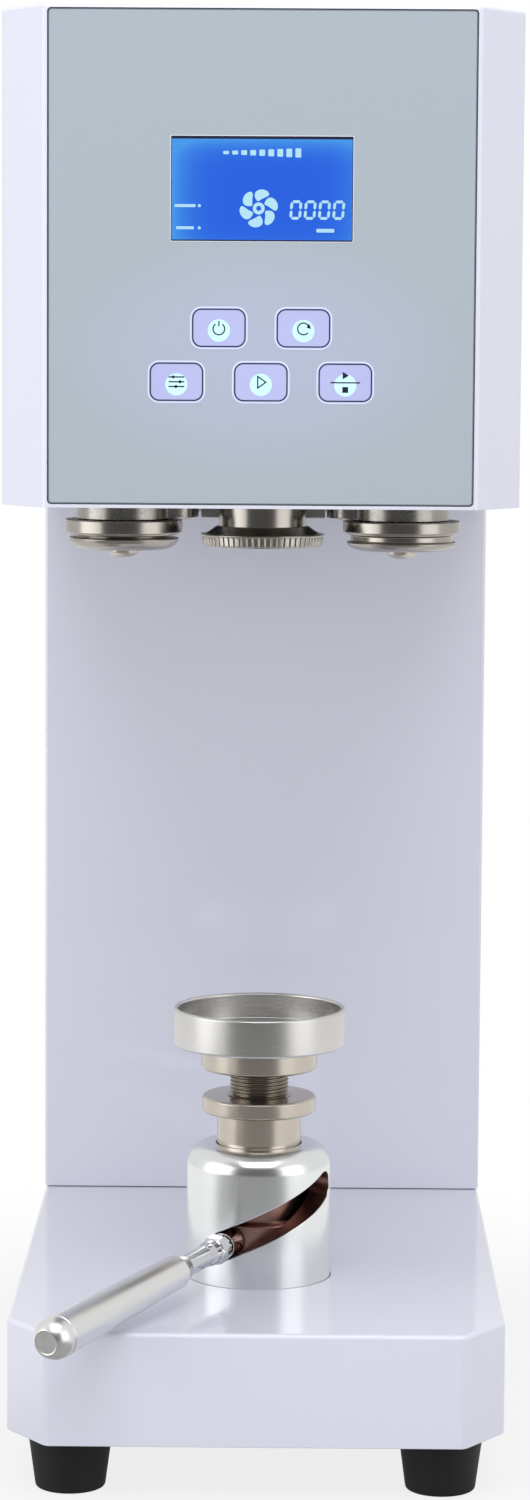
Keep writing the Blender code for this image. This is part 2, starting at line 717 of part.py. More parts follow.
def build_column(root, paint, steel):
    """Column shell, the spine frame inside it and the louvred rear panel."""
    half = WIDTH / 2
    shell = add("column_shell", prism(
        [(-half, COLUMN_BACK), (half, COLUMN_BACK), (half, SHELL_REAR), (-half, SHELL_REAR)],
        BASE_TOP + GAP, HEAD_BOTTOM - GAP,
        lambda a, b: abs(a.z - b.z) > GAP and max(a.y, b.y) < COLUMN_BACK + GAP, CORNER_RADIUS,
    ), paint, root)
    combine(shell, box((SHEET - half, COLUMN_BACK + SHEET, BASE_TOP - OVERRUN),
                       (half - SHEET, SHELL_REAR + OVERRUN, HEAD_BOTTOM + OVERRUN)))

    front = COLUMN_BACK + SPINE_SETBACK
    low, high = BASE_FLOOR + GAP, MECHANISM_BOTTOM - GAP
    spine_half = SPINE_WIDTH / 2
    spine = add("spine_frame", box((-spine_half, front, low), (spine_half, front + SPINE_DEPTH, high)),
                steel, root)
    combine(spine, box((SPINE_THICKNESS - spine_half, front + SPINE_THICKNESS, low - OVERRUN),
                       (spine_half - SPINE_THICKNESS, front + SPINE_DEPTH + OVERRUN, high + OVERRUN)))

    panel = add("rear_panel", box((-half, SHELL_REAR + GAP, FOOT_HEIGHT), (half, REAR, HEAD_TOP)),
                paint, root)
    for start in (BASE_TOP + COLUMN_LOUVRE_RISE, HEAD_BOTTOM + HEAD_LOUVRE_RISE):
        for k in range(LOUVRE_COUNT):
            z = start + k * LOUVRE_PITCH
            combine(panel, box((-LOUVRE_WIDTH / 2, REAR - SHEET - OVERRUN, z),
                               (LOUVRE_WIDTH / 2, REAR + OVERRUN, z + LOUVRE_HEIGHT)))
    for x, width, height in ((INLET_X, INLET_BODY_WIDTH, INLET_BODY_HEIGHT),
                             (SWITCH_X, SWITCH_WIDTH - 2 * SWITCH_RIM, SWITCH_HEIGHT - 2 * SWITCH_RIM)):
        reach_x, reach_z = width / 2 + GAP, height / 2 + GAP
        combine(panel, box((x - reach_x, REAR - SHEET - OVERRUN, SERVICE_Z - reach_z),
                           (x + reach_x, REAR + OVERRUN, SERVICE_Z + reach_z)))


def build_service(root, plastic):
    """Power inlet, and the power switch with its rocker on a joint of its own."""
    face = REAR + GAP
    inlet = add("power_inlet", rounded_plate(
        INLET_FLANGE_WIDTH / 2, INLET_FLANGE_HEIGHT / 2, INLET_SOCKET_CHAMFER,
        face, face + INLET_FLANGE_THICKNESS, (INLET_X, SERVICE_Z)), plastic, root)
    outer = face + INLET_FLANGE_THICKNESS
    combine(inlet, box(
        (INLET_X - INLET_BODY_WIDTH / 2, outer - INLET_BODY_DEPTH, SERVICE_Z - INLET_BODY_HEIGHT / 2),
        (INLET_X + INLET_BODY_WIDTH / 2, face + GAP, SERVICE_Z + INLET_BODY_HEIGHT / 2)), "UNION")
    half_x, half_z = INLET_SOCKET_WIDTH / 2, INLET_SOCKET_HEIGHT / 2
    socket = [
        (INLET_X - half_x, SERVICE_Z - half_z),
        (INLET_X + half_x, SERVICE_Z - half_z),
        (INLET_X + half_x, SERVICE_Z + half_z - INLET_SOCKET_CHAMFER),
        (INLET_X + half_x - INLET_SOCKET_CHAMFER, SERVICE_Z + half_z),
        (INLET_X - half_x + INLET_SOCKET_CHAMFER, SERVICE_Z + half_z),
        (INLET_X - half_x, SERVICE_Z + half_z - INLET_SOCKET_CHAMFER),
    ]
    cavity = prism(socket, -outer - OVERRUN, INLET_SOCKET_DEPTH - outer)
    cavity.transform(Matrix.Rotation(math.pi / 2, 4, "X"))
    combine(inlet, cavity)
    floor = outer - INLET_SOCKET_DEPTH
    for x, rise in ((-INLET_PIN_SPACING, 0), (0, INLET_EARTH_RISE), (INLET_PIN_SPACING, 0)):
        low_z = SERVICE_Z + rise - INLET_PIN_HEIGHT / 2
        combine(inlet, box(
            (INLET_X + x - INLET_PIN_WIDTH / 2, floor - GAP, low_z),
            (INLET_X + x + INLET_PIN_WIDTH / 2, floor + INLET_PIN_LENGTH, low_z + INLET_PIN_HEIGHT)),
            "UNION")

    half_x, half_z = SWITCH_WIDTH / 2, SWITCH_HEIGHT / 2
    body = add("switch_body", rounded_plate(half_x, half_z, SWITCH_RIM, face, face + SWITCH_FLANGE,
                                            (SWITCH_X, SERVICE_Z)), plastic, root)
    neck_x, neck_z = half_x - SWITCH_RIM, half_z - SWITCH_RIM
    combine(body, box((SWITCH_X - neck_x, face - SWITCH_DEPTH, SERVICE_Z - neck_z),
                      (SWITCH_X + neck_x, face + GAP, SERVICE_Z + neck_z)), "UNION")
    well_x, well_z = neck_x - SWITCH_RIM, neck_z - SWITCH_RIM
    well_floor = face - ROCKER_DEPTH
    combine(body, box((SWITCH_X - well_x, well_floor, SERVICE_Z - well_z),
                      (SWITCH_X + well_x, face + SWITCH_FLANGE + OVERRUN, SERVICE_Z + well_z)))

    axis_y = face - GAP
    pivot = carrier("switch_axis", (SWITCH_X, axis_y, SERVICE_Z), root)
    reach_x, reach_z = well_x - RUNNING_GAP, ROCKER_HALF_HEIGHT
    crown, keel = ROCKER_CROWN, -ROCKER_DEPTH / 2
    side = [
        (keel, -reach_z / 2),
        (0, -reach_z),
        (crown, -reach_z),
        (crown - reach_z * math.tan(ROCKER_THROW), 0),
        (crown, reach_z),
        (0, reach_z),
        (keel, reach_z / 2),
    ]
    rocker = prism(side, -reach_x, reach_x)
    rocker.transform(Matrix(((0, 0, 1, 0), (1, 0, 0, 0), (0, 1, 0, 0), (0, 0, 0, 1))))
    rocker.transform(Matrix.Rotation(-ROCKER_THROW, 4, "X"))
    rocker.transform(Matrix.Translation((SWITCH_X, axis_y, SERVICE_Z)))
    add("power_rocker", rocker, plastic, pivot)


def build_head(root, paint, glass, plastic, circuit):
    """Head shell, glass front, display module and touch key board."""
    outline = chamfered(WIDTH / 2, HEAD_REACH, SHELL_REAR, HEAD_CHAMFER_X, HEAD_CHAMFER_Y)
    inner = inset(outline, [SHEET, SHEET, HEAD_FRONT_WALL, SHEET, SHEET, -OVERRUN])

    def filleted(a, b):
        upright = abs(a.z - b.z) > GAP and max(a.y, b.y) < 0
        roof = min(a.z, b.z) > HEAD_TOP - GAP and min(a.y, b.y) < SHELL_REAR - GAP
        return upright or roof

    shell = add("head_shell", prism(outline, HEAD_BOTTOM, HEAD_TOP, filleted, CORNER_RADIUS), paint, root)
    combine(shell, prism(inner, HEAD_BOTTOM - OVERRUN, HEAD_TOP - SHEET))
    half_x = WIDTH / 2 - HEAD_CHAMFER_X - GLASS_LIP
    half_z = HEAD_HEIGHT / 2 - GLASS_LIP
    middle = (0, (HEAD_BOTTOM + HEAD_TOP) / 2)
    seat = GLASS_THICKNESS + GAP
    combine(shell, rounded_plate(half_x, half_z, GLASS_CORNER, -HEAD_REACH - OVERRUN,
                                 -HEAD_REACH + seat, middle))
    combine(shell, rounded_plate(half_x - GLASS_LEDGE, half_z - GLASS_LEDGE, GLASS_CORNER,
                                 -HEAD_REACH - OVERRUN, -HEAD_REACH + HEAD_FRONT_WALL + OVERRUN, middle))
    add("glass_panel", rounded_plate(half_x - GAP, half_z - GAP, GLASS_CORNER, -HEAD_REACH,
                                     -HEAD_REACH + GLASS_THICKNESS, middle), glass, root)

    behind = -HEAD_REACH + GLASS_THICKNESS + GAP
    lcd_z = HEAD_TOP - LCD_TOP - LCD_HEIGHT / 2
    add("lcd_module", rounded_plate(LCD_WIDTH / 2 + LCD_MARGIN, LCD_HEIGHT / 2 + LCD_MARGIN, GLASS_CORNER,
                                    behind, behind + LCD_THICKNESS, (0, lcd_z)), plastic, root)
    board_front = behind + KEY_BOSS
    low_row = HEAD_BOTTOM + KEY_RISE
    board_low = low_row - KEY_RADIUS - BOARD_MARGIN
    board_high = low_row + KEY_ROW_DROP + KEY_RADIUS + BOARD_MARGIN
    board_half = KEY_PITCH + KEY_RADIUS + BOARD_MARGIN
    board = add("touch_key_board", box((-board_half, board_front, board_low),
                                       (board_half, board_front + BOARD_THICKNESS, board_high)),
                circuit, root)
    keys = [(k * KEY_PITCH, low_row) for k in (-1, 0, 1)]
    keys += [(k * KEY_PITCH / 2, low_row + KEY_ROW_DROP) for k in (-1, 1)]
    for x, z in keys:
        pad = disc(KEY_RADIUS, -board_front - GAP, -behind, SMALL, (x, z, 0))
        pad.transform(Matrix.Rotation(math.pi / 2, 4, "X"))
        combine(board, pad, "UNION")


def build_spindle(root, steel, cast):
    """Mechanism plate, spindle housing with its bearings, and the turning spindle and chuck."""
    outline = chamfered(WIDTH / 2, HEAD_REACH, SHELL_REAR, HEAD_CHAMFER_X, HEAD_CHAMFER_Y)
    walls = [SHEET, SHEET, HEAD_FRONT_WALL, SHEET, SHEET, 0]
    plan = inset(outline, [wall + PLATE_MARGIN for wall in walls])
    plate = add("mechanism_plate", prism(plan, MECHANISM_BOTTOM, MECHANISM_TOP), steel, root)
    through = (MECHANISM_BOTTOM - OVERRUN, MECHANISM_TOP + OVERRUN)
    combine(plate, disc(HOUSING_RADIUS + GAP, *through, ROUND))
    combine(plate, disc(CAM_SHAFT_RADIUS + RUNNING_GAP, *through, SMALL, (0, CAM_BACK, 0)))
    for side in (-1, 1):
        place = (side * PIVOT_X, PIVOT_BACK, 0)
        combine(plate, disc(PIVOT_PIN_RADIUS + GAP, *through, SMALL, place))

    bore = BEARING_RADIUS + GAP
    seat = bore - HOUSING_SHOULDER
    lower = HOUSING_BOTTOM + BEARING_WIDTH + GAP
    upper = HOUSING_TOP - BEARING_WIDTH - GAP
    flange = MECHANISM_TOP + GAP
    housing = add("spindle_housing", lathe([
        (bore, HOUSING_BOTTOM),
        (HOUSING_RADIUS, HOUSING_BOTTOM),
        (HOUSING_RADIUS, flange),
        (HOUSING_FLANGE_RADIUS, flange),
        (HOUSING_FLANGE_RADIUS, flange + HOUSING_FLANGE),
        (HOUSING_RADIUS, flange + HOUSING_FLANGE),
        (HOUSING_RADIUS, HOUSING_TOP),
        (bore, HOUSING_TOP),
        (bore, upper),
        (seat, upper),
        (seat, lower),
        (bore, lower),
    ], ROUND), cast, root)
    combine(housing, box((-NOSE_HALF_WIDTH, NOSE_FRONT, HEAD_BOTTOM - NOSE_DROP),
                         (NOSE_HALF_WIDTH, NOSE_FRONT + NOSE_DEPTH, MECHANISM_BOTTOM - GAP)), "UNION")

    for name, low in (("spindle_bearing_lower", HOUSING_BOTTOM), ("spindle_bearing_upper", upper + GAP)):
        inner = SPINDLE_RADIUS + GAP
        high = low + BEARING_WIDTH
        add(name, lathe([
            (inner, low),
            (inner + BEARING_RACE, low),
            (inner + BEARING_RACE, low + BEARING_GROOVE),
            (BEARING_RADIUS - BEARING_RACE, low + BEARING_GROOVE),
            (BEARING_RADIUS - BEARING_RACE, low),
            (BEARING_RADIUS, low),
            (BEARING_RADIUS, high),
            (inner, high),
        ], ROUND), steel, root)

    axis = carrier("spindle_axis", (0, 0, CHUCK_BOTTOM), root)
    socket = CHUCK_HUB_TOP - SPINDLE_SOCKET_DEPTH
    lip = CHUCK_BOTTOM + CHUCK_LIP
    add("chuck", lathe([
        (0, CHUCK_BOTTOM + CHUCK_DISH_DEPTH),
        (CHUCK_DISH_RADIUS, CHUCK_BOTTOM + CHUCK_DISH_DEPTH),
        (CHUCK_DISH_RADIUS + CHUCK_DISH_DEPTH, CHUCK_BOTTOM),
        (CHUCK_RADIUS - CHUCK_DRAFT, CHUCK_BOTTOM),
        (CHUCK_RADIUS, lip),
        (CHUCK_HUB_RADIUS + CHUCK_DRAFT, lip + CHUCK_CONE),
        (CHUCK_HUB_RADIUS, lip + CHUCK_CONE),
        (CHUCK_HUB_RADIUS, CHUCK_HUB_TOP),
        (SPINDLE_RADIUS + GAP, CHUCK_HUB_TOP),
        (SPINDLE_RADIUS + GAP, socket),
        (0, socket),
    ], FINE), steel, axis)
    gear_top = GEAR_BOTTOM + GEAR_WIDTH
    add("spindle_shaft", lathe([
        (0, socket + GAP),
        (SPINDLE_RADIUS, socket + GAP),
        (SPINDLE_RADIUS, gear_top + GAP),
        (SPINDLE_RADIUS - CHUCK_DRAFT, gear_top + GAP + CHUCK_DRAFT),
        (0, gear_top + GAP + CHUCK_DRAFT),
    ], ROUND), steel, axis)
    return axis


def build_drive(root, spindle, steel, zinc, motor_paint):
    """Spur gears, the main motor and the bridge that it stands on."""
    gear_top = GEAR_BOTTOM + GEAR_WIDTH
    gear = add("spindle_gear", prism(gear_outline(GEAR_TEETH, math.pi / 2), GEAR_BOTTOM, gear_top),
               steel, spindle)
    root_radius = GEAR_MODULE * (GEAR_TEETH / 2 - DEDENDUM_SHARE)
    pocket = (GEAR_WIDTH - GEAR_WEB) / 2
    rim = root_radius - GEAR_RIM
    combine(gear, ring(rim, GEAR_HUB_RADIUS, gear_top - pocket, gear_top + OVERRUN, ROUND))
    combine(gear, ring(rim, GEAR_HUB_RADIUS, GEAR_BOTTOM - OVERRUN, GEAR_BOTTOM + pocket, ROUND))
    combine(gear, disc(SPINDLE_RADIUS + GAP, GEAR_BOTTOM - OVERRUN, gear_top + OVERRUN, ROUND))

    place = (0, CENTRE_DISTANCE, GEAR_BOTTOM)
    axis = carrier("pinion_axis", place, root)
    gap_facing_gear = math.pi / PINION_TEETH - math.pi / 2
    teeth = prism(gear_outline(PINION_TEETH, gap_facing_gear), GEAR_BOTTOM, gear_top)
    teeth.transform(Matrix.Translation((0, CENTRE_DISTANCE, 0)))
    pinion = add("motor_pinion", teeth, steel, axis)
    motor_bottom = BRIDGE_TOP + GAP
    shaft_top = motor_bottom + MOTOR_SHAFT_ENTRY
    combine(pinion, disc(MOTOR_SHAFT_RADIUS, gear_top - GEAR_WEB, shaft_top, SMALL,
                         (0, CENTRE_DISTANCE, 0)), "UNION")

    floor = MECHANISM_TOP + GAP
    inner = BRIDGE_HALF_WIDTH - BRIDGE_THICKNESS
    outer = BRIDGE_HALF_WIDTH + BRIDGE_FOOT
    section = [
        (-outer, floor),
        (-inner, floor),
        (-inner, BRIDGE_TOP - BRIDGE_THICKNESS),
        (inner, BRIDGE_TOP - BRIDGE_THICKNESS),
        (inner, floor),
        (outer, floor),
        (outer, floor + BRIDGE_THICKNESS),
        (BRIDGE_HALF_WIDTH, floor + BRIDGE_THICKNESS),
        (BRIDGE_HALF_WIDTH, BRIDGE_TOP),
        (-BRIDGE_HALF_WIDTH, BRIDGE_TOP),
        (-BRIDGE_HALF_WIDTH, floor + BRIDGE_THICKNESS),
        (-outer, floor + BRIDGE_THICKNESS),
    ]
    near, far = CENTRE_DISTANCE - BRIDGE_DEPTH / 2, CENTRE_DISTANCE + BRIDGE_DEPTH / 2
    shape = prism(section, -far, -near)
    shape.transform(Matrix.Rotation(math.pi / 2, 4, "X"))
    bridge = add("motor_bridge", shape, zinc, root)
    combine(bridge, disc(BRIDGE_HOLE, BRIDGE_TOP - BRIDGE_THICKNESS - OVERRUN, BRIDGE_TOP + OVERRUN,
                         ROUND, (0, CENTRE_DISTANCE, 0)))

    hole = MOTOR_SHAFT_RADIUS + RUNNING_GAP
    body_top = motor_bottom + MOTOR_LENGTH
    add("main_motor", lathe([
        (0, shaft_top + RUNNING_GAP),
        (hole, shaft_top + RUNNING_GAP),
        (hole, motor_bottom),
        (MOTOR_RADIUS, motor_bottom),
        (MOTOR_RADIUS, motor_bottom + MOTOR_CAP_LENGTH),
        (MOTOR_RADIUS - MOTOR_BAND, motor_bottom + MOTOR_CAP_LENGTH),
        (MOTOR_RADIUS - MOTOR_BAND, body_top),
        (MOTOR_CAP_RADIUS, body_top + MOTOR_BAND),
        (MOTOR_CAP_RADIUS, body_top + MOTOR_CAP_LENGTH),
        (0, body_top + MOTOR_CAP_LENGTH),
    ], ROUND, (0, CENTRE_DISTANCE, 0)), motor_paint, root)


def build_cam(root, steel, zinc):
    """Heart cam with its shaft, and the gear motor that turns it."""
    axis = carrier("cam_axis", (0, CAM_BACK, CAM_BOTTOM), root)
    shape = prism(cam_outline(), CAM_BOTTOM, CAM_TOP)
    shape.transform(Matrix.Translation((0, CAM_BACK, 0)))
    cam = add("heart_cam", shape, steel, axis)
    floor = MECHANISM_TOP + GAP
    shaft_top = floor + CAM_SHAFT_ENTRY
    combine(cam, disc(CAM_SHAFT_RADIUS, CAM_TOP - GAP, shaft_top, SMALL, (0, CAM_BACK, 0)), "UNION")
    hole = CAM_SHAFT_RADIUS + RUNNING_GAP
    shoulder = floor + GEARBOX_LENGTH
    motor_top = shoulder + CAM_MOTOR_LENGTH
    add("cam_gear_motor", lathe([
        (0, shaft_top + RUNNING_GAP),
        (hole, shaft_top + RUNNING_GAP),
        (hole, floor),
        (GEARBOX_RADIUS, floor),
        (GEARBOX_RADIUS, shoulder),
        (CAM_MOTOR_RADIUS, shoulder),
        (CAM_MOTOR_RADIUS, motor_top - MOTOR_BAND),
        (CAM_MOTOR_RADIUS - MOTOR_BAND, motor_top),
        (0, motor_top),
    ], ROUND, (0, CAM_BACK, 0)), zinc, root)


def roller_profile(depth, flat_share):
    """A seaming roller's half section. depth and flat_share set the groove that forms the seam."""
    bore = AXLE_RADIUS + RUNNING_GAP
    ring_low = ROLLER_TOP - ROLLER_RING_SHARE * ROLLER_HEIGHT
    groove_low = ROLLER_TOP - ROLLER_GROOVE_SHARE * ROLLER_HEIGHT
    lip_low = ROLLER_TOP - ROLLER_LIP_SHARE * ROLLER_HEIGHT
    waist = ROLLER_LIP_RADIUS - depth
    flat = flat_share * (ring_low - groove_low)
    middle = (ring_low + groove_low) / 2
    return [
        (bore, ROLLER_BOTTOM),
        (ROLLER_FOOT_RADIUS, ROLLER_BOTTOM),
        (ROLLER_LIP_RADIUS, lip_low),
        (ROLLER_LIP_RADIUS, groove_low),
        (waist, middle - flat / 2),
        (waist, middle + flat / 2),
        (ROLLER_RADIUS, ring_low),
        (ROLLER_RADIUS, ROLLER_TOP),
        (bore, ROLLER_TOP),
    ]


def build_arm(side, label, root, steel, roller_material, spring_steel):
    """One swing arm with its pivot screw, seaming roller, axle screw, follower and return spring."""
    pivot = (side * PIVOT_X, PIVOT_BACK)
    roller = (side * ROLLER_X, 0)
    tail = (side * CAM_PITCH_RADIUS, CAM_BACK)
    axis = carrier(f"arm_axis_{label}", (*pivot, ARM_BOTTOM), root)
    bosses = [(*roller, ARM_BOSS_RADIUS), (*pivot, ARM_PIVOT_RADIUS), (*tail, ARM_TAIL_RADIUS)]
    arm = add(f"swing_arm_{label}", prism(hull_outline(bosses), ARM_BOTTOM, ARM_TOP), steel, axis)
    lug = [(*roller, ARM_LUG_RADIUS), (side * (ROLLER_X - ARM_LUG_REACH), ARM_LUG_BACK, ARM_LUG_RADIUS)]
    lug_top = HOUSING_BOTTOM - RUNNING_GAP
    combine(arm, prism(hull_outline(lug, ROUND), ARM_BOTTOM + ARM_LUG_STEP, lug_top), "UNION")
    through = (ARM_BOTTOM - OVERRUN, ARM_TOP + OVERRUN)
    combine(arm, disc(PIVOT_PIN_RADIUS + RUNNING_GAP, *through, SMALL, (*pivot, 0)))
    combine(arm, disc(AXLE_RADIUS + GAP, *through, SMALL, (*roller, 0)))
    combine(arm, disc(FOLLOWER_PIN_RADIUS + GAP, *through, SMALL, (*tail, 0)))

    head_top = ARM_BOTTOM - RUNNING_GAP
    add(f"pivot_screw_{label}", lathe([
        (0, head_top - PIVOT_HEAD),
        (PIVOT_HEAD_RADIUS, head_top - PIVOT_HEAD),
        (PIVOT_HEAD_RADIUS, head_top),
        (PIVOT_PIN_RADIUS, head_top),
        (PIVOT_PIN_RADIUS, MECHANISM_TOP),
        (0, MECHANISM_TOP),
    ], SMALL, (*pivot, 0)), spring_steel, root)
    coil(f"return_spring_{label}", SPRING_RADIUS, SPRING_WIRE, ARM_TOP + GAP, MECHANISM_BOTTOM - GAP,
         SPRING_TURNS, (*pivot, 0), spring_steel, root)

    axle_head = ROLLER_BOTTOM - RUNNING_GAP
    add(f"roller_axle_{label}", lathe([
        (0, axle_head - AXLE_HEAD),
        (AXLE_HEAD_RADIUS / 2, axle_head - AXLE_CROWN_SHARE * AXLE_HEAD),
        (AXLE_HEAD_RADIUS, axle_head - AXLE_RIM_SHARE * AXLE_HEAD),
        (AXLE_HEAD_RADIUS, axle_head),
        (AXLE_RADIUS, axle_head),
        (AXLE_RADIUS, ARM_TOP),
        (0, ARM_TOP),
    ], SMALL, (*roller, 0)), spring_steel, axis)
    spin = carrier(f"roller_axis_{label}", (*roller, ROLLER_TOP), axis)
    first = side < 0
    profile = roller_profile(ROLLER_GROOVE_DEPTH if first else ROLLER_FLAT_GROOVE_DEPTH,
                             FIRST_FLAT_SHARE if first else SECOND_FLAT_SHARE)
    number = "first" if first else "second"
    add(f"seaming_roller_{number}", lathe(profile, FINE, (*roller, 0)), roller_material, spin)

    add(f"follower_pin_{label}", disc(FOLLOWER_PIN_RADIUS, ARM_BOTTOM, CAM_TOP, SMALL, (*tail, 0)),
        spring_steel, axis)
    follow = carrier(f"follower_axis_{label}", (*tail, CAM_BOTTOM), axis)
    add(f"cam_follower_{label}", ring(FOLLOWER_RADIUS, FOLLOWER_PIN_RADIUS + RUNNING_GAP,
                                      CAM_BOTTOM, CAM_TOP, ROUND, (*tail, 0)), steel, follow)


def build_electrics(root, zinc, circuit):
    """Power supply in the base and control board in the column."""
    front = LIFT_FLANGE_RADIUS + SUPPLY_CLEARANCE
    top = BASE_TOP - SHEET - SUPPLY_HEADROOM
    half = SUPPLY_WIDTH / 2
    supply = add("power_supply", box((-half, front, BASE_FLOOR + GAP),
                                     (half, front + SUPPLY_DEPTH, top)), zinc, root)
    pitch = SUPPLY_DEPTH / (SUPPLY_SLOTS + 1)
    for k in range(SUPPLY_SLOTS):
        y = front + (k + 1) * pitch
        reach = half * SUPPLY_SLOT_SHARE
        combine(supply, box((-reach, y, top - SUPPLY_SLOT_DEPTH),
                            (reach, y + pitch * SUPPLY_SLOT_SHARE, top + OVERRUN)))

    web = COLUMN_BACK + SPINE_SETBACK + SPINE_THICKNESS + GAP
    face = web + CONTROL_STANDOFF
    half = CONTROL_WIDTH / 2
    low = BASE_TOP + CONTROL_RISE
    high = low + CONTROL_HEIGHT
    board = add("control_board", box((-half, face, low), (half, face + BOARD_THICKNESS, high)), circuit, root)
    for x in (CONTROL_INSET - half, half - CONTROL_INSET):
        for z in (low + CONTROL_INSET, high - CONTROL_INSET):
            post = disc(CONTROL_STANDOFF_RADIUS, -face - GAP, -web, SMALL, (x, z, 0))
            post.transform(Matrix.Rotation(math.pi / 2, 4, "X"))
            combine(board, post, "UNION")
    back = face + BOARD_THICKNESS
    for k in (-1, 0, 1):
        x = k * (RELAY_WIDTH + CONTROL_INSET)
        z = high - 2 * CONTROL_INSET - RELAY_HEIGHT
        combine(board, box((x - RELAY_WIDTH / 2, back - GAP, z),
                           (x + RELAY_WIDTH / 2, back + RELAY_DEPTH, z + RELAY_HEIGHT)), "UNION")
    for x in (-2 * CAPACITOR_RADIUS, 2 * CAPACITOR_RADIUS):
        can = disc(CAPACITOR_RADIUS, -back - CAPACITOR_LENGTH, GAP - back, SMALL,
                   (x, low + CONTROL_HEIGHT / 3, 0))
        can.transform(Matrix.Rotation(math.pi / 2, 4, "X"))
        combine(board, can, "UNION")


def build_lift(root, aluminium, steel, chrome, plunger_finish):
    """Slotted lift housing, plunger, lever, adjusting stud and can seat."""
    floor = BASE_FLOOR + GAP
    shoulder = [
        (LIFT_RADIUS - LIFT_SHOULDER * (1 - math.cos(math.pi / 2 * k / GRIP_CAP_STEPS)),
         LIFT_TOP - LIFT_SHOULDER * (1 - math.sin(math.pi / 2 * k / GRIP_CAP_STEPS)))
        for k in range(GRIP_CAP_STEPS + 1)
    ]
    housing = add("lift_housing", lathe([
        (LIFT_BORE, floor),
        (LIFT_FLANGE_RADIUS, floor),
        (LIFT_FLANGE_RADIUS, floor + LIFT_FLANGE),
        (LIFT_RADIUS, floor + LIFT_FLANGE),
        *shoulder,
        (LIFT_MOUTH, LIFT_TOP),
        (LIFT_MOUTH, LIFT_TOP - LIFT_ROOF),
        (LIFT_BORE, LIFT_TOP - LIFT_ROOF),
    ], FINE), aluminium, root)
    combine(housing, slot_mesh())

    rise = carrier("lift_axis", (0, 0, PLUNGER_BOTTOM), root)
    washer_top = PLUNGER_BOTTOM - GAP
    add("thrust_washer", ring(WASHER_RADIUS, WASHER_HOLE, washer_top - WASHER_THICKNESS, washer_top, ROUND),
        steel, rise)
    coil("lifter_spring", LIFTER_SPRING_RADIUS, LIFTER_SPRING_WIRE, BASE_FLOOR + GAP,
         washer_top - WASHER_THICKNESS - GAP, LIFTER_SPRING_TURNS, (0, 0, 0), steel, root)

    swing = carrier("lever_axis", (0, 0, PLUNGER_BOTTOM), rise)
    bore = STUD_RADIUS + GAP
    plunger = add("lift_plunger", lathe([
        (0, PLUNGER_BOTTOM),
        (PLUNGER_RADIUS - PLUNGER_CHAMFER, PLUNGER_BOTTOM),
        (PLUNGER_RADIUS, PLUNGER_BOTTOM + PLUNGER_CHAMFER),
        (PLUNGER_RADIUS, PLUNGER_SHOULDER - PLUNGER_CHAMFER),
        (PLUNGER_RADIUS - PLUNGER_CHAMFER, PLUNGER_SHOULDER),
        (PLUNGER_NECK_RADIUS, PLUNGER_SHOULDER),
        (PLUNGER_NECK_RADIUS, PLUNGER_TOP - PLUNGER_CHAMFER),
        (PLUNGER_NECK_RADIUS - PLUNGER_CHAMFER, PLUNGER_TOP),
        (bore, PLUNGER_TOP),
        (bore, PLUNGER_BOTTOM + PLUNGER_FLOOR),
        (0, PLUNGER_BOTTOM + PLUNGER_FLOOR),
    ], ROUND), plunger_finish, swing)
    hole = ROD_RADIUS + GAP
    combine(plunger, along_lever([
        (0, ROD_START - GAP), (hole, ROD_START - GAP),
        (hole, PLUNGER_RADIUS + OVERRUN), (0, PLUNGER_RADIUS + OVERRUN)]))
    collar_end = ROD_COLLAR_START + ROD_COLLAR_LENGTH
    add("lever_rod", along_lever([
        (0, ROD_START),
        (ROD_RADIUS, ROD_START),
        (ROD_RADIUS, ROD_COLLAR_START),
        (ROD_COLLAR_RADIUS, ROD_COLLAR_START),
        (ROD_COLLAR_RADIUS, collar_end),
        (ROD_RADIUS, collar_end),
        (ROD_RADIUS, ROD_END),
        (0, ROD_END),
    ]), chrome, swing)
    inner = ROD_RADIUS + GAP
    add("slot_bush", along_lever([
        (inner, BUSH_START), (BUSH_RADIUS, BUSH_START), (BUSH_RADIUS, BUSH_END), (inner, BUSH_END)]),
        steel, swing)
    cap = math.acos(GRIP_TIP_RADIUS / GRIP_RADIUS)
    dome = [
        (GRIP_RADIUS * math.cos(cap * k / GRIP_CAP_STEPS),
         GRIP_BALL_REACH + GRIP_RADIUS * math.sin(cap * k / GRIP_CAP_STEPS))
        for k in range(GRIP_CAP_STEPS + 1)
    ]
    bottom = ROD_END + GRIP_BORE_MARGIN
    add("lever_grip", along_lever([
        (0, bottom),
        (inner, bottom),
        (inner, GRIP_START),
        (inner + GRIP_FACE_WALL, GRIP_START),
        (GRIP_START_RADIUS, GRIP_START + GRIP_LEAD),
        *dome,
        (0, dome[-1][1]),
    ]), aluminium, swing)
    nut_low = PLUNGER_TOP + GAP
    nut_high = nut_low + NUT_HEIGHT
    add("lock_nut", lathe([
        (bore, nut_low),
        (NUT_RADIUS - NUT_CHAMFER, nut_low),
        (NUT_RADIUS, nut_low + NUT_CHAMFER),
        (NUT_RADIUS, nut_high - NUT_CHAMFER),
        (NUT_RADIUS - NUT_CHAMFER, nut_high),
        (bore, nut_high),
    ], FINE), steel, swing)

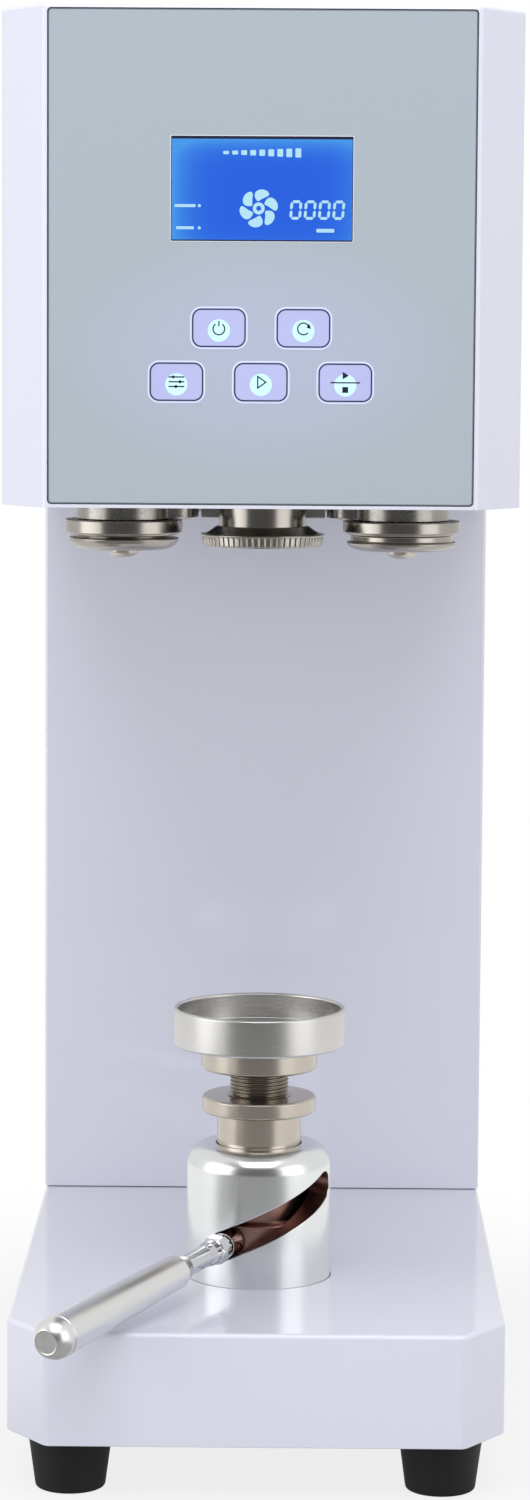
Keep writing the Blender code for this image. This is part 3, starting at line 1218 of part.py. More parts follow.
    adjust = carrier("height_axis", (0, 0, STUD_BOTTOM), swing)
    stud_top = DISC_BOTTOM - GAP
    add("height_stud", lathe([
        (0, STUD_BOTTOM),
        (STUD_RADIUS - STUD_CHAMFER, STUD_BOTTOM),
        (STUD_RADIUS, STUD_BOTTOM + STUD_CHAMFER),
        (STUD_RADIUS, stud_top),
        (0, stud_top),
    ], ROUND), steel, adjust)
    disc_top = DISC_BOTTOM + SEAT_DISC_HEIGHT
    hole = SEAT_PIN_RADIUS + RUNNING_GAP
    add("seat_disc", lathe([
        (hole, DISC_BOTTOM),
        (SEAT_DISC_RADIUS - SEAT_DISC_CHAMFER, DISC_BOTTOM),
        (SEAT_DISC_RADIUS, DISC_BOTTOM + SEAT_DISC_CHAMFER),
        (SEAT_DISC_RADIUS, disc_top - SEAT_DISC_CHAMFER),
        (SEAT_DISC_RADIUS - SEAT_DISC_CHAMFER, disc_top),
        (hole, disc_top),
    ], FINE), steel, adjust)

    turntable = carrier("seat_axis", (0, 0, SEAT_BOTTOM), adjust)
    seat_top = SEAT_BOTTOM + SEAT_HEIGHT
    inside = SEAT_RADIUS - SEAT_WALL
    add("can_seat", lathe([
        (0, SEAT_BOTTOM - SEAT_PIN_LENGTH),
        (SEAT_PIN_RADIUS, SEAT_BOTTOM - SEAT_PIN_LENGTH),
        (SEAT_PIN_RADIUS, SEAT_BOTTOM),
        (SEAT_RADIUS - SEAT_EDGE, SEAT_BOTTOM),
        (SEAT_RADIUS, SEAT_BOTTOM + SEAT_EDGE),
        (SEAT_RADIUS, seat_top - SEAT_EDGE),
        (SEAT_RADIUS - SEAT_EDGE, seat_top),
        (inside + SEAT_EDGE, seat_top),
        (inside, seat_top - SEAT_EDGE),
        (inside, SEAT_BOTTOM + SEAT_FLOOR),
        (0, SEAT_BOTTOM + SEAT_FLOOR),
    ], FINE), aluminium, turntable)


def main():
    clear_scene()
    paint = finish("white_paint", (0.66, 0.67, 0.76), 0.25, 0)
    glass = finish("grey_glass", (0.42, 0.50, 0.56), 0.08, 0)
    rubber = finish("black_rubber", (0.02, 0.02, 0.02), 0.7, 0)
    steel = finish("bright_steel", (0.55, 0.52, 0.48), 0.3, 1)
    spring_steel = finish("spring_steel", (0.35, 0.34, 0.33), 0.35, 1)
    chrome = finish("chrome", (0.75, 0.75, 0.75), 0.1, 1)
    aluminium = finish("aluminium", (0.72, 0.72, 0.70), 0.3, 1)
    cast = finish("cast_aluminium", (0.55, 0.56, 0.55), 0.6, 1)
    zinc = finish("zinc_plate", (0.5, 0.5, 0.5), 0.45, 1)
    plunger_finish = finish("dark_bronze", (0.12, 0.06, 0.04), 0.25, 1)
    motor_paint = finish("motor_paint", (0.05, 0.05, 0.055), 0.5, 0)
    plastic = finish("black_plastic", (0.03, 0.03, 0.03), 0.5, 0)
    circuit = finish("circuit_board", (0.02, 0.12, 0.05), 0.5, 0)

    root = carrier("machine_origin", (0, 0, 0))
    build_base(root, paint, steel, rubber)
    build_column(root, paint, zinc)
    build_service(root, plastic)
    build_head(root, paint, glass, plastic, circuit)
    spindle = build_spindle(root, steel, cast)
    build_drive(root, spindle, steel, zinc, motor_paint)
    build_cam(root, steel, zinc)
    for side, label in ((-1, "left"), (1, "right")):
        build_arm(side, label, root, steel, steel, spring_steel)
    build_electrics(root, zinc, circuit)
    build_lift(root, aluminium, steel, chrome, plunger_finish)


main()
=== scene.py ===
"""The looks of the desktop can seamer: finishes, turned and threaded metal, the lit front,
small fasteners, floor, lamps and camera.

Lengths are in metres in the frame of the CAD model: +Z is up and the front faces -Y.
"""

import json
from math import acos, atan2, ceil, cos, dist, hypot, pi, radians, sin, sqrt, tan, tau

import bmesh
import bpy
from mathutils import Matrix, Vector


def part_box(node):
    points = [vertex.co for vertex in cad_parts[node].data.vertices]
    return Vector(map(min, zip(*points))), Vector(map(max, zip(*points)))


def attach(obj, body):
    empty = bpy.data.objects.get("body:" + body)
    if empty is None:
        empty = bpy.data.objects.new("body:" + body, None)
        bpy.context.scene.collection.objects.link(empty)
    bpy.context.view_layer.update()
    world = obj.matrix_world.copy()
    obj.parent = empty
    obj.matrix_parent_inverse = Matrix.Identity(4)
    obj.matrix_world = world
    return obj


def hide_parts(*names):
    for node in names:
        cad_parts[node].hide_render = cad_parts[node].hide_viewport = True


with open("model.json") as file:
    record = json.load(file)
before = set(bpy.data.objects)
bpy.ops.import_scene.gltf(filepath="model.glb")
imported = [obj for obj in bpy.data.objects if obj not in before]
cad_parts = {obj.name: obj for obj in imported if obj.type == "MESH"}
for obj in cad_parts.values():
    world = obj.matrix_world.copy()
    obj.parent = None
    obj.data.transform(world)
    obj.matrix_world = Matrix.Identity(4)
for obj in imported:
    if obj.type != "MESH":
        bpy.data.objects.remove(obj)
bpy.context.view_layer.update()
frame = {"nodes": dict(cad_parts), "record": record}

NODES = frame["nodes"]
BODY_OF = {node: body for body, nodes in frame["record"]["behaviour"]["bodies"].items()
           for node in nodes}
SLOT_OF = {entry["node"]: entry["material_slot"] for entry in frame["record"]["subparts"]}

# Meshes. Angles are in degrees, and the roundings are those of turned corners
FINE = 96
ROUND = 48
COARSE = 24
WELD = 0.000002
SKIN = 0.00006
FOLD = 0.00000002
FLAT = 0.6
SHARP = 38
BROKEN_FROM = 30
CUT_BROKEN_FROM = 50
BREAK_STEPS = 2
ROUNDED_FROM = 12
ROUNDED_SHARE = 0.45
SOFT = 0.0003
CRISP = 0.0002

# Sizes that the CAD model's boxes don't give
AXIS = sum(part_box("spindle_shaft"), Vector()) / 2
AXIS.z = 0
SHOULDER = 0.009
LIFT_RADIUS = 0.03025
LIFT_BORE = 0.0215
LIFT_MOUTH = 0.0179
LIFT_ROOF = 0.0055
LIFT_FLANGE = 0.006
LEVER_AXIS_Z = 0.0886
LEVER_TILT = radians(4.54)
LEVER_REST = radians(-29.1)
LEVER_SWING = radians(95)
LIFT_PER_RADIAN = 0.01375
SLOT_HALF_WIDTH = 0.0059
SLOT_STATIONS = 48
SLOT_END_STATIONS = 12
WALL_STATIONS = 96
TOWER_EDGE = 0.0004
TOWER_EDGE_STEP = 0.3
OVERRUN = 0.002


def box(node):
    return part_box(node)


# Finishes


COAT_ROUGHNESS = 0.05


def having(thing, **settings):
    """The thing, with its settings made."""
    for key, value in settings.items():
        setattr(thing, key, value)
    return thing


def plug(node, inputs):
    """Links a shader node's inputs to the sockets given and sets them to the values given."""
    for key, value in inputs.items():
        if isinstance(value, bpy.types.NodeSocket):
            node.id_data.links.new(value, node.inputs[key])
        else:
            node.inputs[key].default_value = value


def wired(tree, kind, inputs=None, **settings):
    """Adds a shader node and returns its outputs."""
    node = having(tree.nodes.new("ShaderNode" + kind), **settings)
    plug(node, inputs or {})
    return node.outputs


def reckoned(tree, operation, *values, **settings):
    """The result of one step of arithmetic."""
    return wired(tree, "Math", dict(enumerate(values)), operation=operation, **settings)[0]


def total(tree, *sockets):
    """The sum of two sockets, 1 at most."""
    return reckoned(tree, "ADD", *sockets, use_clamp=True)


def mixed(tree, first, second, share, kind="RGBA"):
    """A socket between two colours or values."""
    return wired(tree, "Mix", {"A": first, "B": second, "Factor": share}, data_type=kind)["Result"]


def new_material(name):
    """A material, its node tree and its shader."""
    material = bpy.data.materials.new(name)
    material.use_nodes = True
    return material, material.node_tree, material.node_tree.nodes["Principled BSDF"]


def finish(name, colour, roughness, metallic=0.0, coat=0.0, mottle=0.03, mottle_scale=30.0,
           grain_scale=1200.0, grain=0.03, bump=0.0, stretch=(1, 1, 1), turned=False,
           anisotropic=0.0):
    """A procedural finish: slow mottling of the colour, grain in the roughness and a fine relief.
    stretch draws the grain out along an axis. turned lays it in rings by the UV map of a lathe."""
    material, tree, shader = new_material(name)
    plug(shader, {"Metallic": metallic, "Coat Weight": coat, "Coat Roughness": COAT_ROUGHNESS,
                  "Anisotropic": anisotropic})
    place = wired(tree, "TexCoord")
    source, scale = place["Object"], [grain_scale * share for share in stretch]
    if turned:
        source, scale = place["UV"], (3, grain_scale * 8, 1)
    grained = wired(tree, "Mapping", {"Vector": source, "Scale": scale})["Vector"]
    fine = wired(tree, "TexNoise", {"Scale": 1.0, "Detail": 3.0, "Vector": grained})["Fac"]
    slow = wired(tree, "TexNoise", {"Scale": mottle_scale, "Detail": 4.0,
                                    "Vector": place["Object"]})["Fac"]
    dark, light = ((*[min(1, c * (1 + sign * mottle)) for c in colour], 1) for sign in (-1, 1))
    spread = wired(tree, "MapRange", {"To Min": max(0.0, roughness - grain),
                                      "To Max": roughness + grain, "Value": fine})
    plug(shader, {"Base Color": mixed(tree, dark, light, slow), "Roughness": spread["Result"]})
    if bump:
        relief = wired(tree, "Bump", {"Strength": 0.5, "Distance": bump, "Height": fine})
        plug(shader, {"Normal": relief["Normal"]})
    if anisotropic:
        tangent = wired(tree, "Tangent", direction_type="UV_MAP", uv_map="turn")
        plug(shader, {"Tangent": tangent["Tangent"]})
    return material


def glow(name, inner, outer, middle, half, strength, power=3.0, body=1.0):
    """A surface that shades from one colour in the middle to another at its edges, lit from behind
    by its strength. With no strength, as on the front glass, the shading is only painted colour.
    body is how much of the colour it keeps when it isn't lit."""
    material = finish(name, inner, 0.2, coat=0.5)
    tree = material.node_tree
    axes = wired(tree, "SeparateXYZ", {"Vector": wired(tree, "Mapping", {
        "Location": [-m / h for m, h in zip(middle, half)], "Scale": [1 / h for h in half],
        "Vector": wired(tree, "TexCoord")["Object"]})["Vector"]})
    outwards = total(tree, *[reckoned(tree, "POWER", reckoned(tree, "ABSOLUTE", axes[axis]), power)
                             for axis in ("X", "Z")])
    inputs = {"Emission Strength": strength}
    for share, socket in ((body, "Base Color"), (1, "Emission Color")):
        near, far = ((*[c * share for c in colour], 1) for colour in (inner, outer))
        inputs[socket] = mixed(tree, near, far, outwards)
    plug(tree.nodes["Principled BSDF"], inputs)
    return material


PAINT = finish("lavender_white_paint", (0.67, 0.683, 0.782), 0.08, coat=0.15, mottle=0.012,
               mottle_scale=9, grain_scale=700, grain=0.015, bump=0.000004)
RUBBER = finish("black_rubber", (0.005, 0.005, 0.0055), 0.6, mottle=0.3, mottle_scale=120,
                grain_scale=2500, grain=0.12, bump=0.00006)
# The front glass is paler and bluer in the middle and darker at its edges: painted shading, with no
# glow
GLASS_PAINTED_SHADING = glow("grey_front_glass_painted_shading", (0.435, 0.47, 0.61), (0.395, 0.447, 0.50), (0, 0, 0.454),
             (0.075, 1, 0.045), 0.0, power=2.0)
# The glass's bevel and sides are tinted dark: a painted dark reflection that draws a thin dark line
# round the glass
GLASS_EDGE_PAINTED_REFLECTION = finish("glass_edge_painted_dark_reflection", (0.16, 0.19, 0.23), 0.12, coat=0.6, mottle=0.05)
PLASTIC = finish("black_plastic", (0.022, 0.022, 0.024), 0.42, mottle=0.15, mottle_scale=150,
                 grain_scale=3000, grain=0.08, bump=0.00003)
ZINC = finish("zinc_plated_sheet", (0.56, 0.56, 0.55), 0.36, 1.0, mottle=0.12, mottle_scale=60,
              grain_scale=500, grain=0.1, bump=0.00001)
CAST = finish("cast_aluminium", (0.60, 0.61, 0.60), 0.52, 1.0, mottle=0.15, mottle_scale=160,
              grain_scale=1600, grain=0.15, bump=0.00018)
MOTOR = finish("satin_black_motor", (0.035, 0.035, 0.04), 0.38, mottle=0.2, mottle_scale=80,
               grain_scale=1500, grain=0.08, bump=0.00002)
CIRCUIT = finish("green_circuit_board", (0.02, 0.12, 0.045), 0.4, mottle=0.3, mottle_scale=260,
                 grain_scale=900, grain=0.1, bump=0.00004)
STEEL = finish("turned_nickel_steel", (0.55, 0.50, 0.435), 0.22, 1.0, mottle=0.05, mottle_scale=45,
               grain=0.08, bump=0.000004, turned=True, anisotropic=0.45)
# The stud's steel is a darker copy of the turned steel: painted shade where it sits between the
# disc and the nut
STUD_STEEL_PAINTED_SHADE = finish("threaded_stud_steel_painted_shade", (0.29, 0.26, 0.22), 0.26, 1.0, mottle=0.1,
                      mottle_scale=80, grain=0.08, bump=0.000004, turned=True)
TOOL_STEEL = finish("ground_tool_steel", (0.40, 0.375, 0.34), 0.2, 1.0, mottle=0.07,
                    mottle_scale=60, grain=0.07, bump=0.000004, turned=True, anisotropic=0.5)
ARM_STEEL = finish("dark_milled_steel", (0.34, 0.325, 0.30), 0.26, 1.0, mottle=0.15,
                   mottle_scale=90, grain_scale=900, grain=0.12, bump=0.00001, stretch=(1, 0.08, 1))
OILED_STEEL = finish("oiled_steel", (0.36, 0.35, 0.33), 0.3, 1.0, mottle=0.15, mottle_scale=200,
                     grain_scale=1500, grain=0.1)
CHROME = finish("polished_chrome", (0.62, 0.63, 0.65), 0.06, 1.0, mottle=0.02, mottle_scale=80,
                grain=0.03, turned=True)
GRIP_METAL = finish("satin_grip_aluminium", (0.80, 0.80, 0.79), 0.3, 1.0, mottle=0.02,
                    mottle_scale=60, grain=0.05, bump=0.000002, turned=True, anisotropic=0.2)
POLISHED = finish("polished_aluminium", (0.80, 0.81, 0.81), 0.24, 1.0, mottle=0.02, mottle_scale=40,
                  grain=0.05, bump=0.000002, turned=True, anisotropic=0.3)
SATIN = finish("brushed_seat_metal", (0.64, 0.63, 0.615), 0.27, 1.0, mottle=0.04, mottle_scale=90,
               grain=0.08, bump=0.000005, turned=True, anisotropic=0.5)
BRONZE = finish("dark_oiled_bronze", (0.37, 0.22, 0.19), 0.3, 1.0, mottle=0.35, mottle_scale=70,
                grain=0.08, bump=0.000005, turned=True, anisotropic=0.3)
NICKEL_PIN = finish("nickel_pin", (0.66, 0.62, 0.55), 0.25, 1.0, mottle=0.05, grain=0.06)
# Navy print on the keys; the same navy is also painted shade round the display's screen
NAVY_PRINT_AND_PAINTED_SHADE = finish("navy_print_and_painted_shade", (0.012, 0.014, 0.045), 0.35, mottle=0.1, mottle_scale=300)
PALE_WINDOW_RIM = finish("pale_window_rim", (0.82, 0.84, 0.90), 0.4, mottle=0.03, mottle_scale=300)

# Finishes of the pieces that keep the CAD model's shape
BY_SLOT = {
    "paint": PAINT, "display": PLASTIC, "circuit": CIRCUIT, "plastic": PLASTIC, "zinc": ZINC,
    "cast": CAST, "motor": MOTOR, "steel": OILED_STEEL, "screw_steel": OILED_STEEL,
    "arm_steel": ARM_STEEL,
}


# Meshes


def placed(name, data):
    """A new object in the scene."""
    obj = bpy.data.objects.new(name, data)
    bpy.context.scene.collection.objects.link(obj)
    return obj


def evaluated(obj):
    """The object's mesh with its modifiers applied."""
    graph = bpy.context.evaluated_depsgraph_get()
    return bpy.data.meshes.new_from_object(obj.evaluated_get(graph))


def piece(name, mesh, finish_used, stands_for=None, body="root"):
    """An object of the part. It replaces a CAD node and rides on that node's body, or rides alone.
    Its large faces keep their own normals, so that the broken edges don't shade them."""
    obj = placed(name, mesh)
    for material in finish_used if isinstance(finish_used, list) else [finish_used]:
        obj.data.materials.append(material)
    obj.modifiers.new("flat_faces", "WEIGHTED_NORMAL").keep_sharp = True
    obj.data = evaluated(obj)
    obj.modifiers.clear()
    if stands_for:
        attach(obj, BODY_OF[stands_for])
        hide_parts(stands_for)
    else:
        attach(obj, body)
    return obj


def smoothed(mesh, sharp=SHARP):
    """The mesh, smooth except over sharp edges."""
    mesh.shade_smooth()
    mesh.set_sharp_from_angle(angle=radians(sharp))
    return mesh


def written(bm, sharp=SHARP):
    """Ends a bmesh and gives it back as a smoothed mesh."""
    mesh = bpy.data.meshes.new("mesh")
    bm.to_mesh(mesh)
    bm.free()
    return smoothed(mesh, sharp)


def done(bm, sharp=SHARP):
    """Closes a bmesh into a mesh: no double corners, and its faces all outwards."""
    bmesh.ops.remove_doubles(bm, verts=bm.verts, dist=WELD)
    bmesh.ops.dissolve_degenerate(bm, edges=bm.edges, dist=WELD / 2)
    bmesh.ops.recalc_face_normals(bm, faces=bm.faces)
    return written(bm, sharp)


def folded(bm):
    """Whether a face laps over itself, so that one of its triangles faces the other way."""
    bm.normal_update()
    return any((b.vert.co - a.vert.co).cross(c.vert.co - a.vert.co).dot(a.face.normal) < -FOLD
               for a, b, c in bm.calc_loop_triangles())


def refined(node, bevel):
    """The CAD node's own shape with its facets merged and its edges broken, as a new mesh. Where a
    broken edge folds a face with an opening in it, that shape is cut into convex faces first, and
    failing that its edges stay sharp."""
    flat = radians(FLAT)
    for convex, width in ((False, bevel), (True, bevel), (True, 0)):
        bm = bmesh.new()
        bm.from_mesh(NODES[node].data)
        bmesh.ops.remove_doubles(bm, verts=bm.verts, dist=WELD)
        bmesh.ops.dissolve_limit(bm, angle_limit=flat, verts=bm.verts, edges=bm.edges)
        if convex:
            cut = bmesh.ops.triangulate(bm, faces=[f for f in bm.faces if len(f.verts) > 4],
                                        ngon_method="BEAUTY")["faces"]
            bmesh.ops.join_triangles(bm, faces=cut, angle_face_threshold=flat,
                                     angle_shape_threshold=pi)
        if width:
            edges = [e for e in bm.edges if len(e.link_faces) == 2
                     and e.calc_face_angle(0) > radians(BROKEN_FROM)]
            bmesh.ops.bevel(bm, geom=edges, offset=width, segments=BREAK_STEPS, affect="EDGES",
                            profile=0.5, clamp_overlap=True)
        if not folded(bm):
            break
        if width:
            bm.free()
    return done(bm)


def rounded(profile, radius, steps=4):
    """The section with its corners rounded off, its two ends kept."""
    out = [profile[0]]
    for before, corner, after in zip(profile, profile[1:], profile[2:]):
        back, here, on = Vector(before), Vector(corner), Vector(after)
        if (here - back).angle(on - here, 0) < radians(ROUNDED_FROM):
            out.append(corner)
            continue
        reach = min(radius, (back - here).length * ROUNDED_SHARE,
                    (on - here).length * ROUNDED_SHARE)
        start = here + (back - here).normalized() * reach
        end = here + (on - here).normalized() * reach
        for k in range(steps + 1):
            t = k / steps
            out.append(tuple((1 - t) ** 2 * start + 2 * t * (1 - t) * here + t * t * end))
    out.append(profile[-1])
    return out


def patch(bm, uv, corners, material=0):
    """Adds a face on corners, which are vertices with their UVs. A vertex counts once, and nothing
    is added on fewer than three."""
    own = {}
    for vert, place in corners:
        own.setdefault(vert, place)
    if len(own) > 2:
        face = bm.faces.new(list(own))
        face.material_index = material
        for loop, place in zip(face.loops, own.values()):
            loop[uv].uv = place


def lathe(profile, steps=FINE, radius=0.0004, shape=None, matrix=None, second=None):
    """Turns (radius, height) points round Z, with UVs: once round in u, metres of section in v.
    A section that doesn't start on the axis is closed to a ring. shape moves a point's radius by
    (radius, height, angle). second(radius, height) picks the faces of the second material."""
    ring = profile[0][0] > WELD
    section = rounded(profile, radius) if radius else list(profile)
    if ring:
        section.append(section[0])
    bm = bmesh.new()
    uv = bm.loops.layers.uv.new("turn")
    rows = []
    length = 0
    for k, (r, z) in enumerate(section):
        if k:
            length += dist(section[k - 1], (r, z))
        if r < WELD:
            row = [bm.verts.new((0, 0, z))] * (steps + 1)
        elif ring and k == len(section) - 1:
            row = rows[0][0]
        else:
            row = []
            for j in range(steps):
                angle = tau * j / steps
                reach = shape(r, z, angle) if shape else r
                row.append(bm.verts.new((reach * cos(angle), reach * sin(angle), z)))
            row.append(row[0])
        rows.append((row, length, r, z))
    for (row, v0, r0, z0), (after, v1, r1, z1) in zip(rows, rows[1:]):
        material = 1 if second and second((r0 + r1) / 2, (z0 + z1) / 2) else 0
        for j in range(steps):
            u, on = j / steps, (j + 1) / steps
            patch(bm, uv, [(row[j], (u, v0)), (row[j + 1], (on, v0)), (after[j + 1], (on, v1)),
                           (after[j], (u, v1))], material)
    mesh = done(bm)
    mesh.transform(matrix or Matrix.Translation(AXIS))
    return mesh


def extruded(bm, corners, along):
    """Adds a closed prism: a face on the corners, carried along a vector."""
    face = bm.faces.new([bm.verts.new(corner) for corner in corners])
    raised = bmesh.ops.extrude_face_region(bm, geom=[face])["geom"]
    bmesh.ops.translate(bm, verts=[v for v in raised if isinstance(v, bmesh.types.BMVert)],
                        vec=along)


def outline_prism(bm, points, front, back):
    """Adds a closed prism on an outline in the XZ plane, between two depths."""
    extruded(bm, [(x, front, z) for x, z in points], (0, back - front, 0))


def band(bm, left, right, closed, front, back):
    """Adds a closed ribbon between two lines of points in the XZ plane."""
    count = len(left)
    rings = [[bm.verts.new((x, y, z)) for x, z in line]
             for y in (front, back) for line in (left, right)]
    left_front, right_front, left_back, right_back = rings
    loop = [left_front, right_front, right_back, left_back]
    for k in range(count if closed else count - 1):
        n = (k + 1) % count
        for a, b in zip(loop, loop[1:] + loop[:1]):
            bm.faces.new((a[k], b[k], b[n], a[n]))
    if not closed:
        for k in (0, count - 1):
            bm.faces.new([line[k] for line in loop])


def stroke(bm, points, width, front, back, closed=False):
    """Adds a line of one width along points in the XZ plane."""
    count = len(points)
    left, right = [], []
    for k, point in enumerate(points):
        before = Vector(points[k - 1] if closed or k else points[k])
        after = Vector(points[(k + 1) % count] if closed or k < count - 1 else points[k])
        here = Vector(point)
        into = (here - before if (here - before).length else after - here).normalized()
        out = (after - here).normalized() if (after - here).length else into
        mean = (into + out).normalized()
        side = Vector((-mean.y, mean.x)) * width / 2 / max(0.4, mean.dot(into))
        left.append(here + side)
        right.append(here - side)
    band(bm, left, right, closed, front, back)


def rounded_rectangle(x, z, half_x, half_z, corner, steps=8):
    points = []
    for k, (sx, sz) in enumerate(((1, 1), (-1, 1), (-1, -1), (1, -1))):
        for step in range(steps + 1):
            angle = pi / 2 * (k + step / steps)
            points.append((x + sx * (half_x - corner) + corner * cos(angle),
                           z + sz * (half_z - corner) + corner * sin(angle)))
    return points


def arc(x, z, radius, start=0.0, end=360.0, steps=32):
    angles = [radians(start + (end - start) * k / steps) for k in range(steps + 1)]
    return [(x + radius * cos(a), z + radius * sin(a)) for a in angles]


def circle(x, z, radius, steps=40):
    return arc(x, z, radius, steps=steps)[:-1]


def prism_z(points, low, high):
    """A prism on an outline in the XY plane."""
    bm = bmesh.new()
    extruded(bm, [(x, y, low) for x, y in points], (0, 0, high - low))
    return done(bm)


def hexagon(across):
    reach = across / sqrt(3)
    return [(reach * cos(tau * k / 6), reach * sin(tau * k / 6))
            for k in range(6)]


def carved(mesh, tools, bevel=0.0):
    """The mesh with tools cut out, and its edges broken."""
    obj = placed("carved", mesh)
    helpers = [placed("tool", tool) for tool in tools]
    for helper in helpers:
        having(obj.modifiers.new("cut", "BOOLEAN"), operation="DIFFERENCE", solver="EXACT",
               object=helper)
    if bevel:
        having(obj.modifiers.new("edge", "BEVEL"), width=bevel, segments=BREAK_STEPS,
               limit_method="ANGLE", angle_limit=radians(CUT_BROKEN_FROM))
    result = evaluated(obj)
    for used in (obj, *helpers):
        bpy.data.objects.remove(used, do_unlink=True)
    result.materials.clear()
    return smoothed(result)


def joined(meshes):
    """Several meshes as one."""
    bm = bmesh.new()
    for mesh in meshes:
        bm.from_mesh(mesh)
    return written(bm)


def upright(node):
    """A turned CAD node's bottom, top and radius, and the matrix that puts a lathe on its axis."""
    low, high = box(node)
    place = Matrix.Translation(((low.x + high.x) / 2, (low.y + high.y) / 2, 0))
    return low.z, high.z, (high.x - low.x) / 2, place


# Housing and everything inside it that is right as the CAD model has it


USUAL_BREAK = 0.0002
BREAKS = {
    "lifter_spring": 0,
    "base_cover": 0.0004, "column_shell": 0.0004, "head_shell": 0.0004, "rear_panel": 0.0003,
    "swing_arm_left": 0.0004, "swing_arm_right": 0.0004, "spindle_housing": 0.0005,
    "main_motor": 0.0006, "spindle_gear": 0.00012, "motor_pinion": 0.00012,
}
MADE_BELOW = {
    "foot_front_left", "foot_front_right", "foot_rear_left", "foot_rear_right", "lift_housing",
    "lift_plunger", "lock_nut", "height_stud", "seat_disc", "can_seat", "lever_rod", "slot_bush",
    "lever_grip", "chuck", "seaming_roller_first", "seaming_roller_second", "roller_axle_left",
    "roller_axle_right", "pivot_screw_left", "pivot_screw_right", "glass_panel",
}


def dress_cad():
    for node in NODES:
        if node not in MADE_BELOW:
            mesh = refined(node, BREAKS.get(node, USUAL_BREAK))
            piece(node + "_dressed", mesh, BY_SLOT[SLOT_OF[node]], node)


# Feet and screws. A screw's size is the radius and the height of its head


FOOT_EDGE = 0.0014
FOOT_BOTTOM_RADIUS = 0.014
FOOT_RECESS = 0.006
FOOT_RECESS_DEPTH = 0.008
FOOT_SCREW = (0.0048, 0.0026)
PANEL_SCREW = (0.0030, 0.0016)
INLET_SCREW = (0.0026, 0.0014)
# Shares of a screw head's radius or height
HEAD_RIM = 0.45
HEAD_CROWN = 0.72
HEAD_ROUNDING = 0.3
CROSS_REACH = 0.55
CROSS_HALF = 0.13
CROSS_FLOOR = 0.35
CROSS_TOP = 1.5


def make_feet():
    screws = []
    for row in ("front", "rear"):
        for side in ("left", "right"):
            node = f"foot_{row}_{side}"
            _, top, radius, place = upright(node)
            profile = [
                (0, FOOT_RECESS_DEPTH), (FOOT_RECESS, FOOT_RECESS_DEPTH), (FOOT_RECESS, 0),
                (FOOT_BOTTOM_RADIUS, 0), (radius, top - FOOT_EDGE), (radius - FOOT_EDGE, top),
                (0, top),
            ]
            piece(node + "_rubber", lathe(profile, ROUND, FOOT_EDGE, matrix=place), RUBBER, node)
            seat = place @ Matrix.Translation((0, 0, FOOT_RECESS_DEPTH))
            screws.append(screw_mesh(*FOOT_SCREW, seat @ Matrix.Rotation(pi, 4, "X")))
    piece("foot_screws", joined(screws), OILED_STEEL)


def screw_mesh(radius, height, matrix):
    """A pan head screw with a cross recess, its seat at the origin and its head towards +Z."""
    head = lathe([(0, -SKIN), (radius, -SKIN), (radius, height * HEAD_RIM),
                  (radius * HEAD_CROWN, height), (0, height)], COARSE, height * HEAD_ROUNDING,
                 matrix=Matrix.Identity(4))
    arm, half = radius * CROSS_REACH, radius * CROSS_HALF
    tools = []
    for turn in (0, pi / 2):
        bar = prism_z([(-arm, -half), (arm, -half), (arm, half), (-arm, half)],
                      height * CROSS_FLOOR, height * CROSS_TOP)
        bar.transform(Matrix.Rotation(turn, 4, "Z"))
        tools.append(bar)
    mesh = carved(head, tools)
    mesh.transform(matrix)
    return mesh


# Lift: slotted housing, plunger, nut, threaded stud, disc and can seat


def lever_height(radius):
    return LEVER_AXIS_Z - radius * tan(LEVER_TILT)


def slot_columns(radius, half_width):
    """Places round the wall, as distances along it from the slot's first end: the slot's two round
    ends and its straight run first, then the rest of the wall back to the start."""
    length = radius * LEVER_SWING
    quarter = [pi / 2 * k / SLOT_END_STATIONS for k in range(SLOT_END_STATIONS)]
    slot = [-half_width * cos(a) for a in quarter]
    slot += [length * k / SLOT_STATIONS for k in range(SLOT_STATIONS + 1)]
    slot += [length + half_width * cos(a) for a in reversed(quarter)]
    around = tau * radius - slot[-1] + slot[0]
    rest = [slot[-1] + around * k / WALL_STATIONS for k in range(1, WALL_STATIONS)]
    return slot, rest


def slot_edges(radius, half_width):
    """Lower and upper heights of the slot's edge at each of its columns."""
    slope = atan2(LIFT_PER_RADIAN, radius)
    length = radius * LEVER_SWING
    rows = []
    for side in (-1, 1):
        row = []
        for along in slot_columns(radius, half_width)[0]:
            foot = min(length, max(0.0, along + side * half_width * sin(slope)))
            reach = sqrt(max(0.0, half_width ** 2 - (along - foot) ** 2))
            row.append(lever_height(radius) + foot * tan(slope) + side * reach)
        rows.append(row)
    return rows


